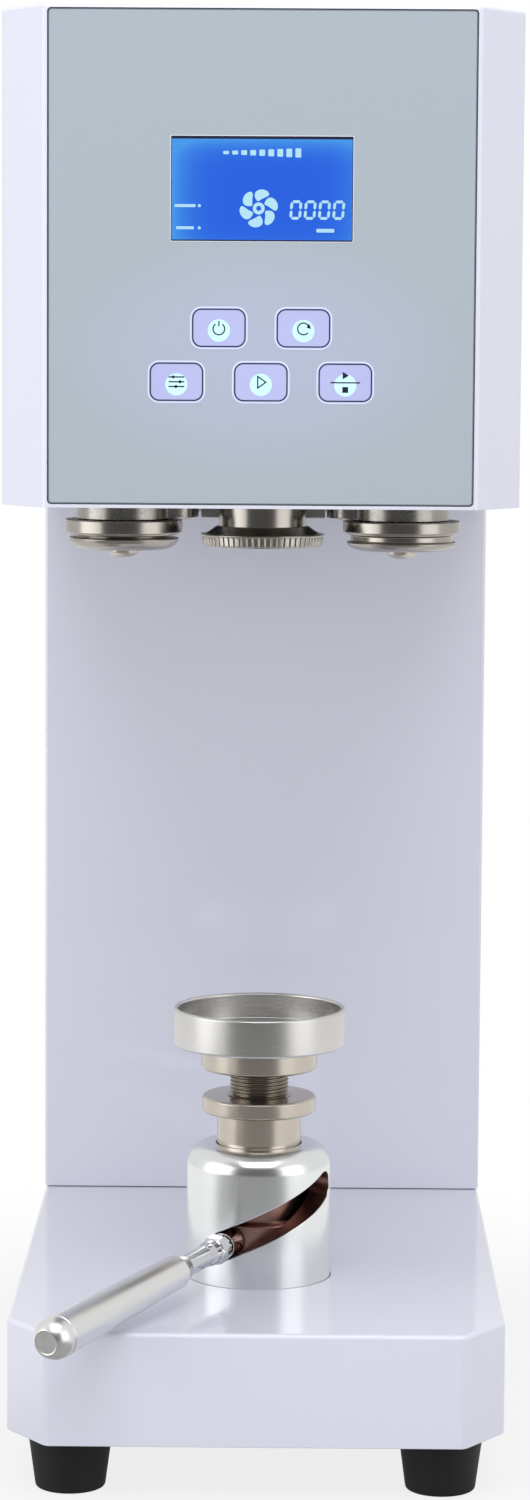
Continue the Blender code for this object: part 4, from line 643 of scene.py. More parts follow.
def tower_mesh(low_rings, high_rings, edge):
    """The slotted wall as one grid. low_rings run from the bore to the foot of the outer wall and
    high_rings from its shoulder back to the bore, as (radius, height) points."""
    bm = bmesh.new()
    uv = bm.loops.layers.uv.new("turn")

    def vertex(radius, along, height):
        angle = LEVER_REST + along / radius
        return bm.verts.new((radius * sin(angle), -radius * cos(angle), height))

    def ring(radius, height):
        wall = min(LIFT_RADIUS, max(LIFT_BORE, radius))
        slot, rest = slot_columns(wall, SLOT_HALF_WIDTH + edge)
        return [vertex(radius, along * radius / wall, height) for along in slot + rest]

    def lips(radius, half_width):
        slot, rest = slot_columns(radius, half_width)
        lower, upper = slot_edges(radius, half_width)
        ends = [vertex(radius, slot[k], lower[k]) for k in (0, -1)]
        inner = range(1, len(slot) - 1)
        low = [ends[0]] + [vertex(radius, slot[k], lower[k]) for k in inner] + [ends[1]]
        high = [ends[0]] + [vertex(radius, slot[k], upper[k]) for k in inner] + [ends[1]]
        return low, high, rest, (lower[-1], lower[0])

    def wall(radius):
        low, high, rest, (start, end) = lips(radius, SLOT_HALF_WIDTH + edge)
        back = [vertex(radius, along, start + (end - start) * (k + 1) / WALL_STATIONS)
                for k, along in enumerate(rest)]
        return low, high, back

    def strip(rings, material):
        for row, after in zip(rings, rings[1:]):
            count = len(row)
            for k in range(count):
                n = (k + 1) % count
                corners = ((row[k], k), (row[n], k + 1), (after[n], k + 1), (after[k], k))
                patch(bm, uv, [(vert, (step / count, vert.co.z - hypot(vert.co.x, vert.co.y)))
                               for vert, step in corners], material)

    low = [ring(*point) for point in low_rings]
    high = [ring(*point) for point in high_rings]
    outer_low, outer_high, outer_back = wall(LIFT_RADIUS)
    inner_low, inner_high, inner_back = wall(LIFT_BORE)
    strip([*low, outer_low + outer_back], 0)
    strip([outer_high + outer_back, *high], 0)
    strip([high[-1], inner_high + inner_back], 1)
    strip([inner_low + inner_back, low[0]], 1)
    levels = [(outer_low, outer_high)]
    step = TOWER_EDGE_STEP
    for radius, wider in ((LIFT_RADIUS - edge * step, step), (LIFT_RADIUS - edge, 0),
                          (LIFT_BORE + edge, 0), (LIFT_BORE + edge * step, step)):
        levels.append(lips(radius, SLOT_HALF_WIDTH + edge * wider)[:2])
    levels.append((inner_low, inner_high))
    loops = [bottom + top[-2:0:-1] for bottom, top in levels]
    strip(loops[:3], 0)
    strip(loops[2:], 1)
    mesh = done(bm)
    mesh.transform(Matrix.Translation(AXIS))
    return mesh


THREAD_PITCH = 0.00155
THREAD_DEPTH = 0.0008
THREAD_SHAPE = (0.0, 0.0, 0.5, 1.0, 1.0, 0.5)
THREAD_SHARP = 25


def threaded(radius, depth, pitch, low, high, steps=ROUND):
    """A rod with a helical thread between two heights, its ends tapered to the thread's root."""
    count = len(THREAD_SHAPE)
    last = ceil((high - low) / pitch + 2) * count
    root = radius - depth
    bm = bmesh.new()
    uv = bm.loops.layers.uv.new("turn")
    grid = []
    for k in range(last + 1):
        row = []
        for j in range(steps):
            z = low + pitch * ((k / count) - 1 + j / steps)
            z = min(high, max(low, z))
            reach = radius - depth * THREAD_SHAPE[k % count]
            reach = min(reach, root + min(z - low, high - z))
            angle = tau * j / steps
            row.append(bm.verts.new((reach * cos(angle), reach * sin(angle), z)))
        grid.append(row)
    for k in range(last):
        v, up = pitch * k / count, pitch * (k + 1) / count
        for j in range(steps):
            u, on = j / steps, (j + 1) / steps
            a, b = (k, j + 1) if j < steps - 1 else (k + count, 0)
            if a < last:
                patch(bm, uv, [(grid[k][j], (u, v)), (grid[a][b], (on, v)),
                               (grid[a + 1][b], (on, up)), (grid[k + 1][j], (u, up))])
    bmesh.ops.remove_doubles(bm, verts=bm.verts, dist=WELD)
    bmesh.ops.holes_fill(bm, edges=[e for e in bm.edges if e.is_boundary], sides=0)
    mesh = done(bm, THREAD_SHARP)
    mesh.transform(Matrix.Translation(AXIS))
    return mesh


SHOULDER_STEPS = 12
PLUNGER_NECK = 0.0175
STUD_BORE = 0.01255
PLUNGER_FLOOR = 0.0062
PLUNGER_BODY = 0.0277
CHAMFER = 0.001
EDGE = 0.0008
NUT_TOP_EDGE = 0.0007
NUT_MOUTH = 0.0012
SEAT_WALL = 0.0019
SEAT_FLOOR = 0.0045
SEAT_PIN = 0.008
SEAT_PIN_GAP = 0.0004
SEAT_PIN_EDGE = 0.0005
SEAT_PIN_LENGTH = 0.0075
SEAT_RIM = 0.0007
SEAT_RIM_OUT = 0.0006
SEAT_RIM_IN = 0.0005
SEAT_GROOVES = [0.028 - 0.004 * k for k in range(6)]
SEAT_GROOVE_HALF = 0.0004
SEAT_GROOVE_DEPTH = 0.0003
SEAT_STEPS = 128


def make_lift():
    low, high, flange, _ = upright("lift_housing")
    shoulder = []
    for k in range(SHOULDER_STEPS + 1):
        angle = pi / 2 * k / SHOULDER_STEPS
        shoulder.append((LIFT_RADIUS - SHOULDER * (1 - cos(angle)),
                         high - SHOULDER * (1 - sin(angle))))
    foot = low + LIFT_FLANGE
    roof = high - LIFT_ROOF
    low_rings = rounded([
        (LIFT_BORE, low + TOWER_EDGE), (LIFT_BORE, low), (flange, low), (flange, foot),
        (LIFT_RADIUS, foot), (LIFT_RADIUS, foot + TOWER_EDGE * 2),
    ], TOWER_EDGE)
    high_rings = rounded([
        *shoulder, (LIFT_MOUTH, high), (LIFT_MOUTH, roof), (LIFT_BORE, roof),
        (LIFT_BORE, roof - TOWER_EDGE),
    ], TOWER_EDGE)
    tower = tower_mesh(low_rings, high_rings, TOWER_EDGE)
    piece("lift_tower", tower, [POLISHED, BRONZE], "lift_housing")

    low, high, radius, _ = upright("lift_plunger")
    neck = low + PLUNGER_BODY
    body = lathe([
        (0, low), (radius - CHAMFER, low), (radius, low + CHAMFER), (radius, neck - CHAMFER),
        (radius - CHAMFER, neck), (PLUNGER_NECK, neck), (PLUNGER_NECK, roof),
        (PLUNGER_NECK, high - CHAMFER / 2), (PLUNGER_NECK - CHAMFER / 2, high),
        (STUD_BORE, high), (STUD_BORE, low + PLUNGER_FLOOR), (0, low + PLUNGER_FLOOR),
    ], FINE, SOFT, second=lambda r, z: z > roof)
    piece("plunger_turned", body, [BRONZE, STEEL], "lift_plunger")

    low, high, radius, _ = upright("lock_nut")
    piece("lock_nut_turned", lathe([
        (STUD_BORE, low), (radius - EDGE, low), (radius, low + EDGE),
        (radius, high - NUT_TOP_EDGE), (radius - NUT_TOP_EDGE, high),
        (STUD_BORE + NUT_MOUTH, high), (STUD_BORE, high - NUT_MOUTH),
    ], FINE, CRISP), STEEL, "lock_nut")

    # The stud takes the darker steel, painted shade between the seat disc and the nut
    low, high, radius, _ = upright("height_stud")
    piece("stud_threaded", threaded(radius, THREAD_DEPTH, THREAD_PITCH, low, high),
          STUD_STEEL_PAINTED_SHADE, "height_stud")

    low, high, radius, _ = upright("seat_disc")
    bore = SEAT_PIN + SEAT_PIN_GAP
    piece("seat_disc_turned", lathe([
        (bore, low), (radius - EDGE, low), (radius, low + EDGE), (radius, high - EDGE),
        (radius - EDGE, high), (bore, high),
    ], FINE, CRISP), STEEL, "seat_disc")

    low, high, radius, _ = upright("can_seat")
    base = low + SEAT_PIN_LENGTH
    inside = radius - SEAT_WALL
    floor = base + SEAT_FLOOR
    grooves = []
    for at in SEAT_GROOVES:
        grooves += [(at, floor), (at - SEAT_GROOVE_HALF, floor - SEAT_GROOVE_DEPTH),
                    (at - 2 * SEAT_GROOVE_HALF, floor)]
    piece("can_seat_turned", lathe([
        (0, low), (SEAT_PIN - SEAT_PIN_EDGE, low), (SEAT_PIN, low + SEAT_PIN_EDGE),
        (SEAT_PIN, base), (radius - EDGE, base), (radius, base + EDGE), (radius, high - SEAT_RIM),
        (radius - SEAT_RIM_OUT, high), (inside + SEAT_RIM_IN, high), (inside, high - SEAT_RIM),
        (inside, floor + EDGE), (inside - EDGE, floor), *grooves, (0, floor),
    ], SEAT_STEPS, SOFT), SATIN, "can_seat")


# Lever. Heights are distances from the spindle's axis


ROD_RADIUS = 0.0045
ROD_START = 0.015
ROD_END = 0.098
COLLAR_START = 0.03175
COLLAR_LENGTH = 0.0065
COLLAR_RADIUS = 0.0062
COLLAR_FACE = COLLAR_RADIUS * 0.9
COLLAR_ROUND = COLLAR_RADIUS * 0.93
COLLAR_EDGE = 0.0006
NECK_RADIUS = 0.0052
NECK_STEP = 0.0004
NECK_LENGTH = 0.004
NECK_TAPERED = 0.007
BUSH_RADIUS = 0.00545
BUSH_START = 0.02183
BUSH_END = 0.02995
ROD_GAP = 0.0003
GRIP_START = 0.0625
GRIP_START_RADIUS = 0.007
GRIP_FACE_WALL = 0.0007
GRIP_LEAD = 0.0055
GRIP_BORE_PAST = 0.004
GRIP_RADIUS = 0.0085
GRIP_GROOVE_DEPTH = 0.0003
GRIP_GROOVE = ((0, 0.0022), (GRIP_GROOVE_DEPTH, 0.0019), (GRIP_GROOVE_DEPTH, 0.0014), (0, 0.0011))
GRIP_BALL = 0.1584
GRIP_DOME_STEPS = 12
GRIP_TIP = 0.005
GRIP_TIP_DISH = 0.0002
LEVER_STEPS = 72
LEVER_MATRIX = (Matrix.Translation((AXIS.x, AXIS.y, LEVER_AXIS_Z))
                @ Matrix.Rotation(LEVER_REST, 4, "Z")
                @ Matrix.Rotation(pi / 2 + LEVER_TILT, 4, "X"))


def lever_lathe(profile, steps=ROUND, radius=SOFT, shape=None):
    """A piece turned round the lever, its heights counted across and not along the tilt."""
    stretched = [(r, s / cos(LEVER_TILT)) for r, s in profile]
    return lathe(stretched, steps, radius, shape, LEVER_MATRIX)


def hex_collar(r, z, angle):
    """Six flats on the collar, the rest of the rod left round."""
    if r < COLLAR_ROUND:
        return r
    flat = COLLAR_RADIUS * cos(pi / 6) / cos((angle % (pi / 3)) - pi / 6)
    return min(r, flat)


def make_lever():
    end = COLLAR_START + COLLAR_LENGTH
    rod = lever_lathe([
        (0, ROD_START), (ROD_RADIUS, ROD_START), (ROD_RADIUS, COLLAR_START),
        (COLLAR_FACE, COLLAR_START), (COLLAR_RADIUS, COLLAR_START + COLLAR_EDGE),
        (COLLAR_RADIUS, end - COLLAR_EDGE), (COLLAR_FACE, end), (NECK_RADIUS, end + NECK_STEP),
        (NECK_RADIUS, end + NECK_LENGTH), (ROD_RADIUS, end + NECK_TAPERED), (ROD_RADIUS, ROD_END),
        (0, ROD_END),
    ], LEVER_STEPS, CRISP, hex_collar)
    piece("lever_neck", rod, CHROME, "lever_rod")
    inner = ROD_RADIUS + ROD_GAP
    piece("slot_bush_turned", lever_lathe([
        (inner, BUSH_START), (BUSH_RADIUS, BUSH_START), (BUSH_RADIUS, BUSH_END), (inner, BUSH_END),
    ]), CHROME, "slot_bush")
    cap = acos(GRIP_TIP / GRIP_RADIUS)
    angles = [cap * k / GRIP_DOME_STEPS for k in range(GRIP_DOME_STEPS + 1)]
    dome = [(GRIP_RADIUS * cos(a), GRIP_BALL + GRIP_RADIUS * sin(a)) for a in angles]
    dish = dome[-1][1] - GRIP_TIP_DISH
    bottom = ROD_END + GRIP_BORE_PAST
    piece("grip_turned", lever_lathe([
        (0, bottom), (inner, bottom), (inner, GRIP_START), (inner + GRIP_FACE_WALL, GRIP_START),
        (GRIP_START_RADIUS, GRIP_START + GRIP_LEAD),
        *[(GRIP_RADIUS - depth, GRIP_BALL - before) for depth, before in GRIP_GROOVE],
        *dome, (GRIP_TIP * 0.9, dish), (0, dish),
    ], LEVER_STEPS, CRISP), GRIP_METAL, "lever_grip")


# Chuck, seaming rollers and their screws


CHUCK_LIP = 0.0051
CHUCK_LIP_WALL = 0.0022
LIP_INSET = 0.0003
LIP_DROP = 0.0009
LIP_RISE = 0.0001
CHUCK_CONE = 0.0031
CHUCK_CONE_FOOT = 0.0012
CHUCK_HUB = 0.0179
CHUCK_DISH = 0.019
CHUCK_DISH_DEPTH = 0.002
CHUCK_GROOVES = 60
GROOVED_FROM = 0.955
GROOVED_BELOW = 0.0004
GROOVE_DEPTH = 0.0003
GROOVE_SHARE = 0.25
GROOVE_STEPS = 12
SPINDLE_HOLE = 0.0103
SPINDLE_SOCKET = 0.010


def make_chuck():
    low, high, radius, _ = upright("chuck")
    lip = low + CHUCK_LIP

    def grooved(r, z, angle):
        if r < radius * GROOVED_FROM or z > lip - GROOVED_BELOW:
            return r
        from_groove = abs((angle * CHUCK_GROOVES / tau) % 1 - 0.5) * 2
        return r - GROOVE_DEPTH * max(0.0, 1 - from_groove / GROOVE_SHARE)

    piece("chuck_turned", lathe([
        (0, low + CHUCK_DISH_DEPTH), (CHUCK_DISH, low + CHUCK_DISH_DEPTH),
        (CHUCK_DISH + CHUCK_DISH_DEPTH, low), (radius - 2 * EDGE, low), (radius - EDGE, low + EDGE),
        (radius - LIP_INSET, lip - LIP_DROP), (radius, lip - GROOVED_BELOW), (radius, lip),
        (radius - CHUCK_LIP_WALL, lip + LIP_RISE),
        (CHUCK_HUB + CHUCK_CONE_FOOT, lip + CHUCK_CONE),
        (CHUCK_HUB, lip + CHUCK_CONE), (CHUCK_HUB, high), (SPINDLE_HOLE, high),
        (SPINDLE_HOLE, high - SPINDLE_SOCKET), (0, high - SPINDLE_SOCKET),
    ], CHUCK_GROOVES * GROOVE_STEPS, CRISP, grooved), TOOL_STEEL, "chuck")


ROLLER_BORE = 0.0054
# Radius and share of the height
ROLLER_SECTIONS = {
    "seaming_roller_first": [
        (0.0180, 0.00), (0.0196, 0.05), (0.0214, 0.14), (0.0225, 0.26), (0.0228, 0.36),
        (0.0224, 0.39), (0.0196, 0.41), (0.0193, 0.44), (0.0196, 0.47), (0.0226, 0.49),
        (0.0227, 0.55), (0.0240, 0.56), (0.0242, 0.58), (0.0242, 0.97), (0.0239, 1.00),
    ],
    "seaming_roller_second": [
        (0.0180, 0.00), (0.0196, 0.04), (0.0214, 0.11), (0.0224, 0.19), (0.0227, 0.26),
        (0.0224, 0.29), (0.0212, 0.31), (0.0210, 0.34), (0.0210, 0.49), (0.0214, 0.52),
        (0.0227, 0.54), (0.0229, 0.60), (0.0240, 0.61), (0.0242, 0.63), (0.0242, 0.97),
        (0.0239, 1.00),
    ],
}
# Share of the head's radius and height above its underside
AXLE_DOME = ((0, 0), (0.4, 0.0003), (0.75, 0.0011), (0.96, 0.0023), (1, 0.0035))
SOCKET_EDGE = 0.0001
AXLE_SHANK = 0.005
AXLE_EDGE = 0.0004
AXLE_SOCKET = (0.0042, 0.002)
PIVOT_HEAD = 0.0028
PIVOT_SHANK = 0.006
PIVOT_EDGE = 0.0005
PIVOT_SOCKET = (0.006, 0.0022)


def socket_screw(name, node, head, shank, edge, socket):
    """A screw whose head shows below, with a hexagon socket of a width and a depth. The head is
    given as radius and height above its underside."""
    low, high, _, place = upright(node)
    mesh = lathe([
        *[(r, low + z) for r, z in head], (shank, low + head[-1][1]), (shank, high - edge),
        (shank - edge, high), (0, high),
    ], ROUND, SOFT, matrix=place)
    across, depth = socket
    tool = prism_z(hexagon(across), low - OVERRUN, low + depth)
    tool.transform(place)
    piece(name, carved(mesh, [tool], bevel=SOCKET_EDGE), STEEL, node)


def make_rollers():
    for node, section in ROLLER_SECTIONS.items():
        low, high, _, place = upright(node)
        height = high - low
        profile = [(ROLLER_BORE, low), *[(r, low + share * height) for r, share in section],
                   (ROLLER_BORE, high)]
        piece(node + "_ground", lathe(profile, FINE, SOFT, matrix=place), TOOL_STEEL, node)
    for side in ("left", "right"):
        node = f"roller_axle_{side}"
        radius = upright(node)[2]
        socket_screw(f"axle_screw_{side}", node, [(radius * share, z) for share, z in AXLE_DOME],
                     AXLE_SHANK, AXLE_EDGE, AXLE_SOCKET)
        node = f"pivot_screw_{side}"
        radius = upright(node)[2]
        head = [(0, 0), (radius - EDGE, 0), (radius, EDGE), (radius, PIVOT_HEAD)]
        socket_screw(f"pivot_screw_head_{side}", node, head, PIVOT_SHANK, PIVOT_EDGE, PIVOT_SOCKET)


# Front: display, marks and touch keys on the glass. A drop is a distance from the display's top


GLASS_FRONT = box("glass_panel")[0].y
GLASS_CORNER = 0.0015
GLASS_BEVEL = 0.0005
LAYER = 0.00006
SIGN_SHARP = 60
LCD_HALF = (0.03435, 0.01965)
LCD_CENTRE = (0.0, 0.51645)
LCD_RIM = 0.00025
# Widths of the painted shade left round the screen: at its sides, above and below
LCD_SIDE = 0.0003
LCD_ABOVE = 0.0011
LCD_BELOW = 0.0005
LCD_DEEP_SHIFT = 0.003
DIGITS = [0.0128 + 0.0054 * k for k in range(4)]
DIGIT_DROP = 0.0275
DIGIT_HALF = (0.0017, 0.0031)
DIGIT_THICK = 0.00105
DIGIT_GAP = DIGIT_THICK * 0.35
DIGIT_SLANT = 0.08
FAN_X = -0.0012
FAN_DROP = 0.0270
FAN_TURNS = [tau * k / 6 + 0.4 for k in range(6)]
FAN_POINTS = 28
FAN_MIDDLE = 0.0050
FAN_REACH = 0.0023
FAN_SPREAD = 0.44
FAN_PETAL = 0.25
FAN_LEAN = 90
FAN_RING = 0.0016
FAN_RING_WIDTH = 0.0013
# Place across and half the height of the rising steps
LEVELS = [(-0.0136 + 0.0034 * k, 0.0006 + 0.00014 * k) for k in range(9)]
LEVEL_DROP = 0.0062
LEVEL_HALF = 0.0011
# Place across, drop, half the length and half the height
BARS = ((-0.0290, 0.0261, 0.0040, 0.00055), (-0.0290, 0.0344, 0.0034, 0.00055),
        (0.0240, 0.0352, 0.0034, 0.0007))
DOT_X = -0.0236
DOT_DROPS = (0.0261, 0.0344)
DOT_RADIUS = 0.0006
KEY_HALF = (0.0104, 0.0075)
KEY_CORNER = 0.0038
KEY_LINE = 0.0005
KEYS = [(-0.016, 0.4642), (0.016, 0.4642), (-0.032, 0.4438), (0.0, 0.4438), (0.032, 0.4438)]
KEY_LAMP = 0.0042
KEY_LAMP_DROP = 0.0010
SIGN_RADIUS = 0.0022
# Points from the key's middle
POWER_STEM = ((0, 0.0006), (0, 0.0026))
REPEAT_TIP = ((0.0022, 0.0018), (0.0029, -0.0002), (0.0011, 0.0002))
SLIDER_HALF = 0.003
SLIDERS = ((-0.0012, 0.0018), (0.0014, 0), (-0.0002, -0.0018))
SLIDER_KNOB = 0.00058
PLAY = ((-0.0012, 0.0022), (0.0019, 0), (-0.0012, -0.0022))
PARTING = ((-0.0056, 0), (0.0056, 0))
START = ((-0.0010, 0.0041), (0.0014, 0.0027), (-0.0010, 0.0013))
STOP = ((-0.0011, -0.0016), (0.0011, -0.0016), (0.0011, -0.0038), (-0.0011, -0.0038))


def flat_piece(name, finish_used, shapes, number):
    """Thin closed shapes in a numbered layer on the glass, each a filled outline or a line given
    as its points, its width and whether it is closed."""
    front, back = GLASS_FRONT - LAYER * (number + 1), GLASS_FRONT + LAYER
    bm = bmesh.new()
    for form in shapes:
        if isinstance(form, tuple):
            points, width, closed = form
            stroke(bm, points, width, front, back, closed)
        else:
            outline_prism(bm, form, front, back)
    return piece(name, done(bm, SIGN_SHARP), finish_used)


def nought(x, z):
    """The six bars of a slanted 0."""
    half_x, half_z = DIGIT_HALF
    corners = [(-half_x, half_z), (half_x, half_z), (half_x, 0),
               (half_x, -half_z), (-half_x, -half_z), (-half_x, 0)]
    shapes = []
    for start, end in zip(corners, corners[1:] + corners[:1]):
        start, end = Vector(start), Vector(end)
        along = (end - start).normalized()
        start, end = start + along * DIGIT_GAP, end - along * DIGIT_GAP
        side = Vector((-along.y, along.x)) * DIGIT_THICK / 2
        tip = along * DIGIT_THICK / 2
        points = [start - tip * 0.4, start + side + tip * 0.6, end + side - tip * 0.6,
                  end + tip * 0.4, end - side - tip * 0.6, start - side + tip * 0.6]
        shapes.append([(x + p.x + DIGIT_SLANT * p.y, z + p.y) for p in points])
    return shapes


def fan_blade(x, z, turn):
    """One blade of the fan sign, a petal that leans back as it goes out."""
    points = []
    for k in range(FAN_POINTS):
        angle = tau * k / FAN_POINTS
        radius = FAN_MIDDLE + FAN_REACH * cos(angle)
        spread = FAN_SPREAD * sin(angle) * (1 + FAN_PETAL * cos(angle))
        at = turn + spread - FAN_LEAN * (radius - FAN_MIDDLE)
        points.append((x + radius * cos(at), z + radius * sin(at)))
    return points


def make_glass():
    """The front glass, a plate with ground edges. Its bevel and sides carry a painted dark
    reflection.
    """
    low, high = box("glass_panel")
    middle, half = (low + high) / 2, (high - low) / 2
    rings = []
    bm = bmesh.new()
    for inset, depth in ((GLASS_BEVEL, low.y), (0, low.y + GLASS_BEVEL), (0, high.y)):
        outline = rounded_rectangle(middle.x, middle.z, half.x - inset, half.z - inset,
                                    GLASS_CORNER - inset)
        rings.append([bm.verts.new((x, depth, z)) for x, z in outline])
    for ring in (rings[0], rings[-1]):
        bm.faces.new(ring)
    for ring, after in zip(rings, rings[1:]):
        for k in range(len(ring)):
            n = (k + 1) % len(ring)
            bm.faces.new((ring[k], ring[n], after[n], after[k])).material_index = 1
    piece("glass_plate", done(bm), [GLASS_PAINTED_SHADING, GLASS_EDGE_PAINTED_REFLECTION], "glass_panel")


def make_display():
    x, z = LCD_CENTRE
    half_x, half_z = LCD_HALF
    top = z + half_z
    # A pale thin rim round the display window, a little wider than it
    flat_piece("window_rim", PALE_WINDOW_RIM,
               [rounded_rectangle(x, z, half_x + LCD_RIM, half_z + LCD_RIM, 0.0004, 3)], 0)
    # The navy band left round the screen, wider at the top than below, is painted shade under the
    # window's sunk edge
    flat_piece("window_shadow", NAVY_PRINT_AND_PAINTED_SHADE, [rounded_rectangle(x, z, half_x, half_z, 0.0003, 3)], 1)
    middle = z - (LCD_ABOVE - LCD_BELOW) / 2
    inner_x, inner_z = half_x - LCD_SIDE, half_z - (LCD_ABOVE + LCD_BELOW) / 2
    screen = glow("lcd_backlight", (0.018, 0.12, 0.76), (0.06, 0.32, 0.84),
                  (x + LCD_DEEP_SHIFT, 0, middle - LCD_DEEP_SHIFT),
                  (inner_x + LCD_DEEP_SHIFT, 1, inner_z + LCD_DEEP_SHIFT), 0.95, 6.0, body=0.05)
    flat_piece("lcd_screen", screen, [rounded_rectangle(x, middle, inner_x, inner_z, 0.0002, 2)], 2)
    lit = glow("lcd_marks", (0.50, 0.84, 0.97), (0.46, 0.78, 0.96), (x, 0, z), (half_x, 1, half_z),
               0.85, body=0.1)
    marks = []
    for across in DIGITS:
        marks += nought(across, top - DIGIT_DROP)
    marks += [fan_blade(FAN_X, top - FAN_DROP, turn) for turn in FAN_TURNS]
    marks.append((circle(FAN_X, top - FAN_DROP, FAN_RING), FAN_RING_WIDTH, True))
    marks += [rounded_rectangle(across, top - LEVEL_DROP, LEVEL_HALF, tall, 0.0003, 2)
              for across, tall in LEVELS]
    marks += [rounded_rectangle(across, top - drop, long, tall, 0.0004, 3)
              for across, drop, long, tall in BARS]
    marks += [circle(DOT_X, top - drop, DOT_RADIUS, 12) for drop in DOT_DROPS]
    flat_piece("lcd_signs", lit, marks, 3)


def make_keys():
    spread = ((0, 0, 0.454), (0.05, 1, 0.03))
    halo = glow("key_halo", (0.72, 0.74, 0.95), (0.68, 0.72, 0.93), *spread, 0.5, body=0.6)
    face = glow("key_face", (0.525, 0.555, 0.90), (0.49, 0.515, 0.85), *spread, 0.7, body=0.3)
    lamp = glow("key_lamp", (0.60, 0.95, 0.97), (0.62, 0.84, 0.98), *spread, 0.85, body=0.3)

    def outlines(wider):
        half_x, half_z = KEY_HALF
        return [rounded_rectangle(x, z, half_x + wider, half_z + wider, KEY_CORNER + wider)
                for x, z in KEYS]

    flat_piece("key_halos", halo, outlines(KEY_LINE), 0)
    flat_piece("key_faces", face, outlines(0), 1)
    flat_piece("key_lamps", lamp, [circle(x, z - KEY_LAMP_DROP, KEY_LAMP) for x, z in KEYS], 2)

    def at(key, points):
        return [(KEYS[key][0] + x, KEYS[key][1] + z) for x, z in points]

    def line(points, closed=False):
        return points, KEY_LINE, closed

    power, repeat, sliders, play, start_stop = range(len(KEYS))
    signs = [line(outline, True) for outline in outlines(-KEY_LINE)]
    signs += [line(at(power, arc(0, -0.0004, SIGN_RADIUS, 125, 415))), line(at(power, POWER_STEM)),
              line(at(repeat, arc(0, -0.0002, SIGN_RADIUS, 20, 320))), at(repeat, REPEAT_TIP)]
    for knob, row in SLIDERS:
        signs += [line(at(sliders, ((-SLIDER_HALF, row), (SLIDER_HALF, row)))),
                  at(sliders, circle(knob, row, SLIDER_KNOB, 16))]
    signs += [line(at(play, PLAY), True), line(at(start_stop, PARTING)), at(start_stop, START),
              at(start_stop, STOP)]
    flat_piece("key_signs", NAVY_PRINT_AND_PAINTED_SHADE, signs, 3)


# Back: screws and inlet pins


PANEL_SCREW_INSET = 0.007
PANEL_SCREW_HEIGHTS = (0.150, 0.300, 0.415)
INLET_SCREW_X = 0.020
INLET_SCREW_SUNK = 0.0008
INLET_PINS = ((-0.007, 0), (0, 0.0025), (0.007, 0))
INLET_PIN_HALF = (0.001, 0.002)
INLET_PIN_LENGTH = 0.015
INLET_SOCKET_DEPTH = 0.0215


def make_back():
    towards = Matrix.Rotation(-pi / 2, 4, "X")
    low, high = box("rear_panel")
    inset = PANEL_SCREW_INSET
    heights = (low.z + inset, *PANEL_SCREW_HEIGHTS, high.z - inset)
    seats = [(s * (high.x - inset), high.y, z) for s in (-1, 1) for z in heights]
    heads = [screw_mesh(*PANEL_SCREW, Matrix.Translation(seat) @ towards) for seat in seats]
    piece("panel_screws", joined(heads), OILED_STEEL)
    low, high = box("power_inlet")
    middle = (low + high) / 2
    seats = [(middle.x + s * INLET_SCREW_X, high.y - INLET_SCREW_SUNK, middle.z) for s in (-1, 1)]
    heads = [screw_mesh(*INLET_SCREW, Matrix.Translation(seat) @ towards) for seat in seats]
    piece("inlet_screws", joined(heads), OILED_STEEL)
    floor = high.y - INLET_SOCKET_DEPTH
    half_x, half_z = (half + SKIN for half in INLET_PIN_HALF)
    bm = bmesh.new()
    for x, rise in INLET_PINS:
        outline = rounded_rectangle(middle.x + x, middle.z + rise, half_x, half_z, half_x / 2, 3)
        outline_prism(bm, outline, floor - SKIN, floor + INLET_PIN_LENGTH + SKIN)
    piece("inlet_pins", done(bm), NICKEL_PIN)


# Floor, lamps and camera


CAMERA_PLACE = (0.0132, -1.6396, 0.46535)
CAMERA_YAW = -0.0071
CAMERA_PITCH = 0.1065
CAMERA_ROLL = -0.0063
CAMERA_LENS = 95.39
CAMERA_SENSOR = 36
FLOOR_RADIUS = 1.1
FLOOR_GAP = 0.0002
FLOOR_ROUGHNESS = 0.7
FLOOR_GREYS = (0.58, 0.61)
FLOOR_FADE = (0.15, 0.45)
FLOOR_WHITE = 0.82
FLOOR_MIRRORED = 0.36
SIDES_LIT = 0.95
RIGHT_LIT = 0.33
FLOOR_RAMP = (-0.05, 0.1)
WORLD_RAMP = (-0.3, 0.3)
WORLD_MIRRORED = (0.13, 0.85)
WORLD_SOFT = 0.72
WHITE = (1, 1, 1, 1)
LAMPS_AIM = (0, 0, 0.3)
# Place, width and height, and power in watts
LAMPS = {
    "left_softbox": ((-1.9, -0.9, 0.55), (1.8, 2.0), 17),
    "right_softbox": ((1.7, -1.2, 0.5), (1.4, 2.0), 8),
    "top_softbox": ((0, -1.0, 2.0), (1.6, 1.6), 22),
}


def behind_and_beside(tree, place):
    """A socket that rises from the camera's side of the object to its sides and its back."""
    axes = wired(tree, "SeparateXYZ", {"Vector": place})
    aside = reckoned(tree, "ABSOLUTE", axes["X"])
    value = reckoned(tree, "MULTIPLY_ADD", aside, SIDES_LIT, axes["Y"])
    return reckoned(tree, "MULTIPLY_ADD", axes["X"], RIGHT_LIT, value)


def ramp(tree, value, between, levels=(0, 1)):
    """A socket that goes smoothly from one level to another while the value goes between two."""
    return wired(tree, "MapRange", {
        "From Min": between[0], "From Max": between[1], "To Min": levels[0], "To Max": levels[1],
        "Value": value}, interpolation_type="SMOOTHSTEP")["Result"]


def seen_and_mirrored(tree):
    """A socket that is 1 for rays seen straight or through glass, and one for rays in mirrors."""
    rays = wired(tree, "LightPath")
    return total(tree, rays["Is Camera Ray"], rays["Is Transmission Ray"]), rays["Is Glossy Ray"]


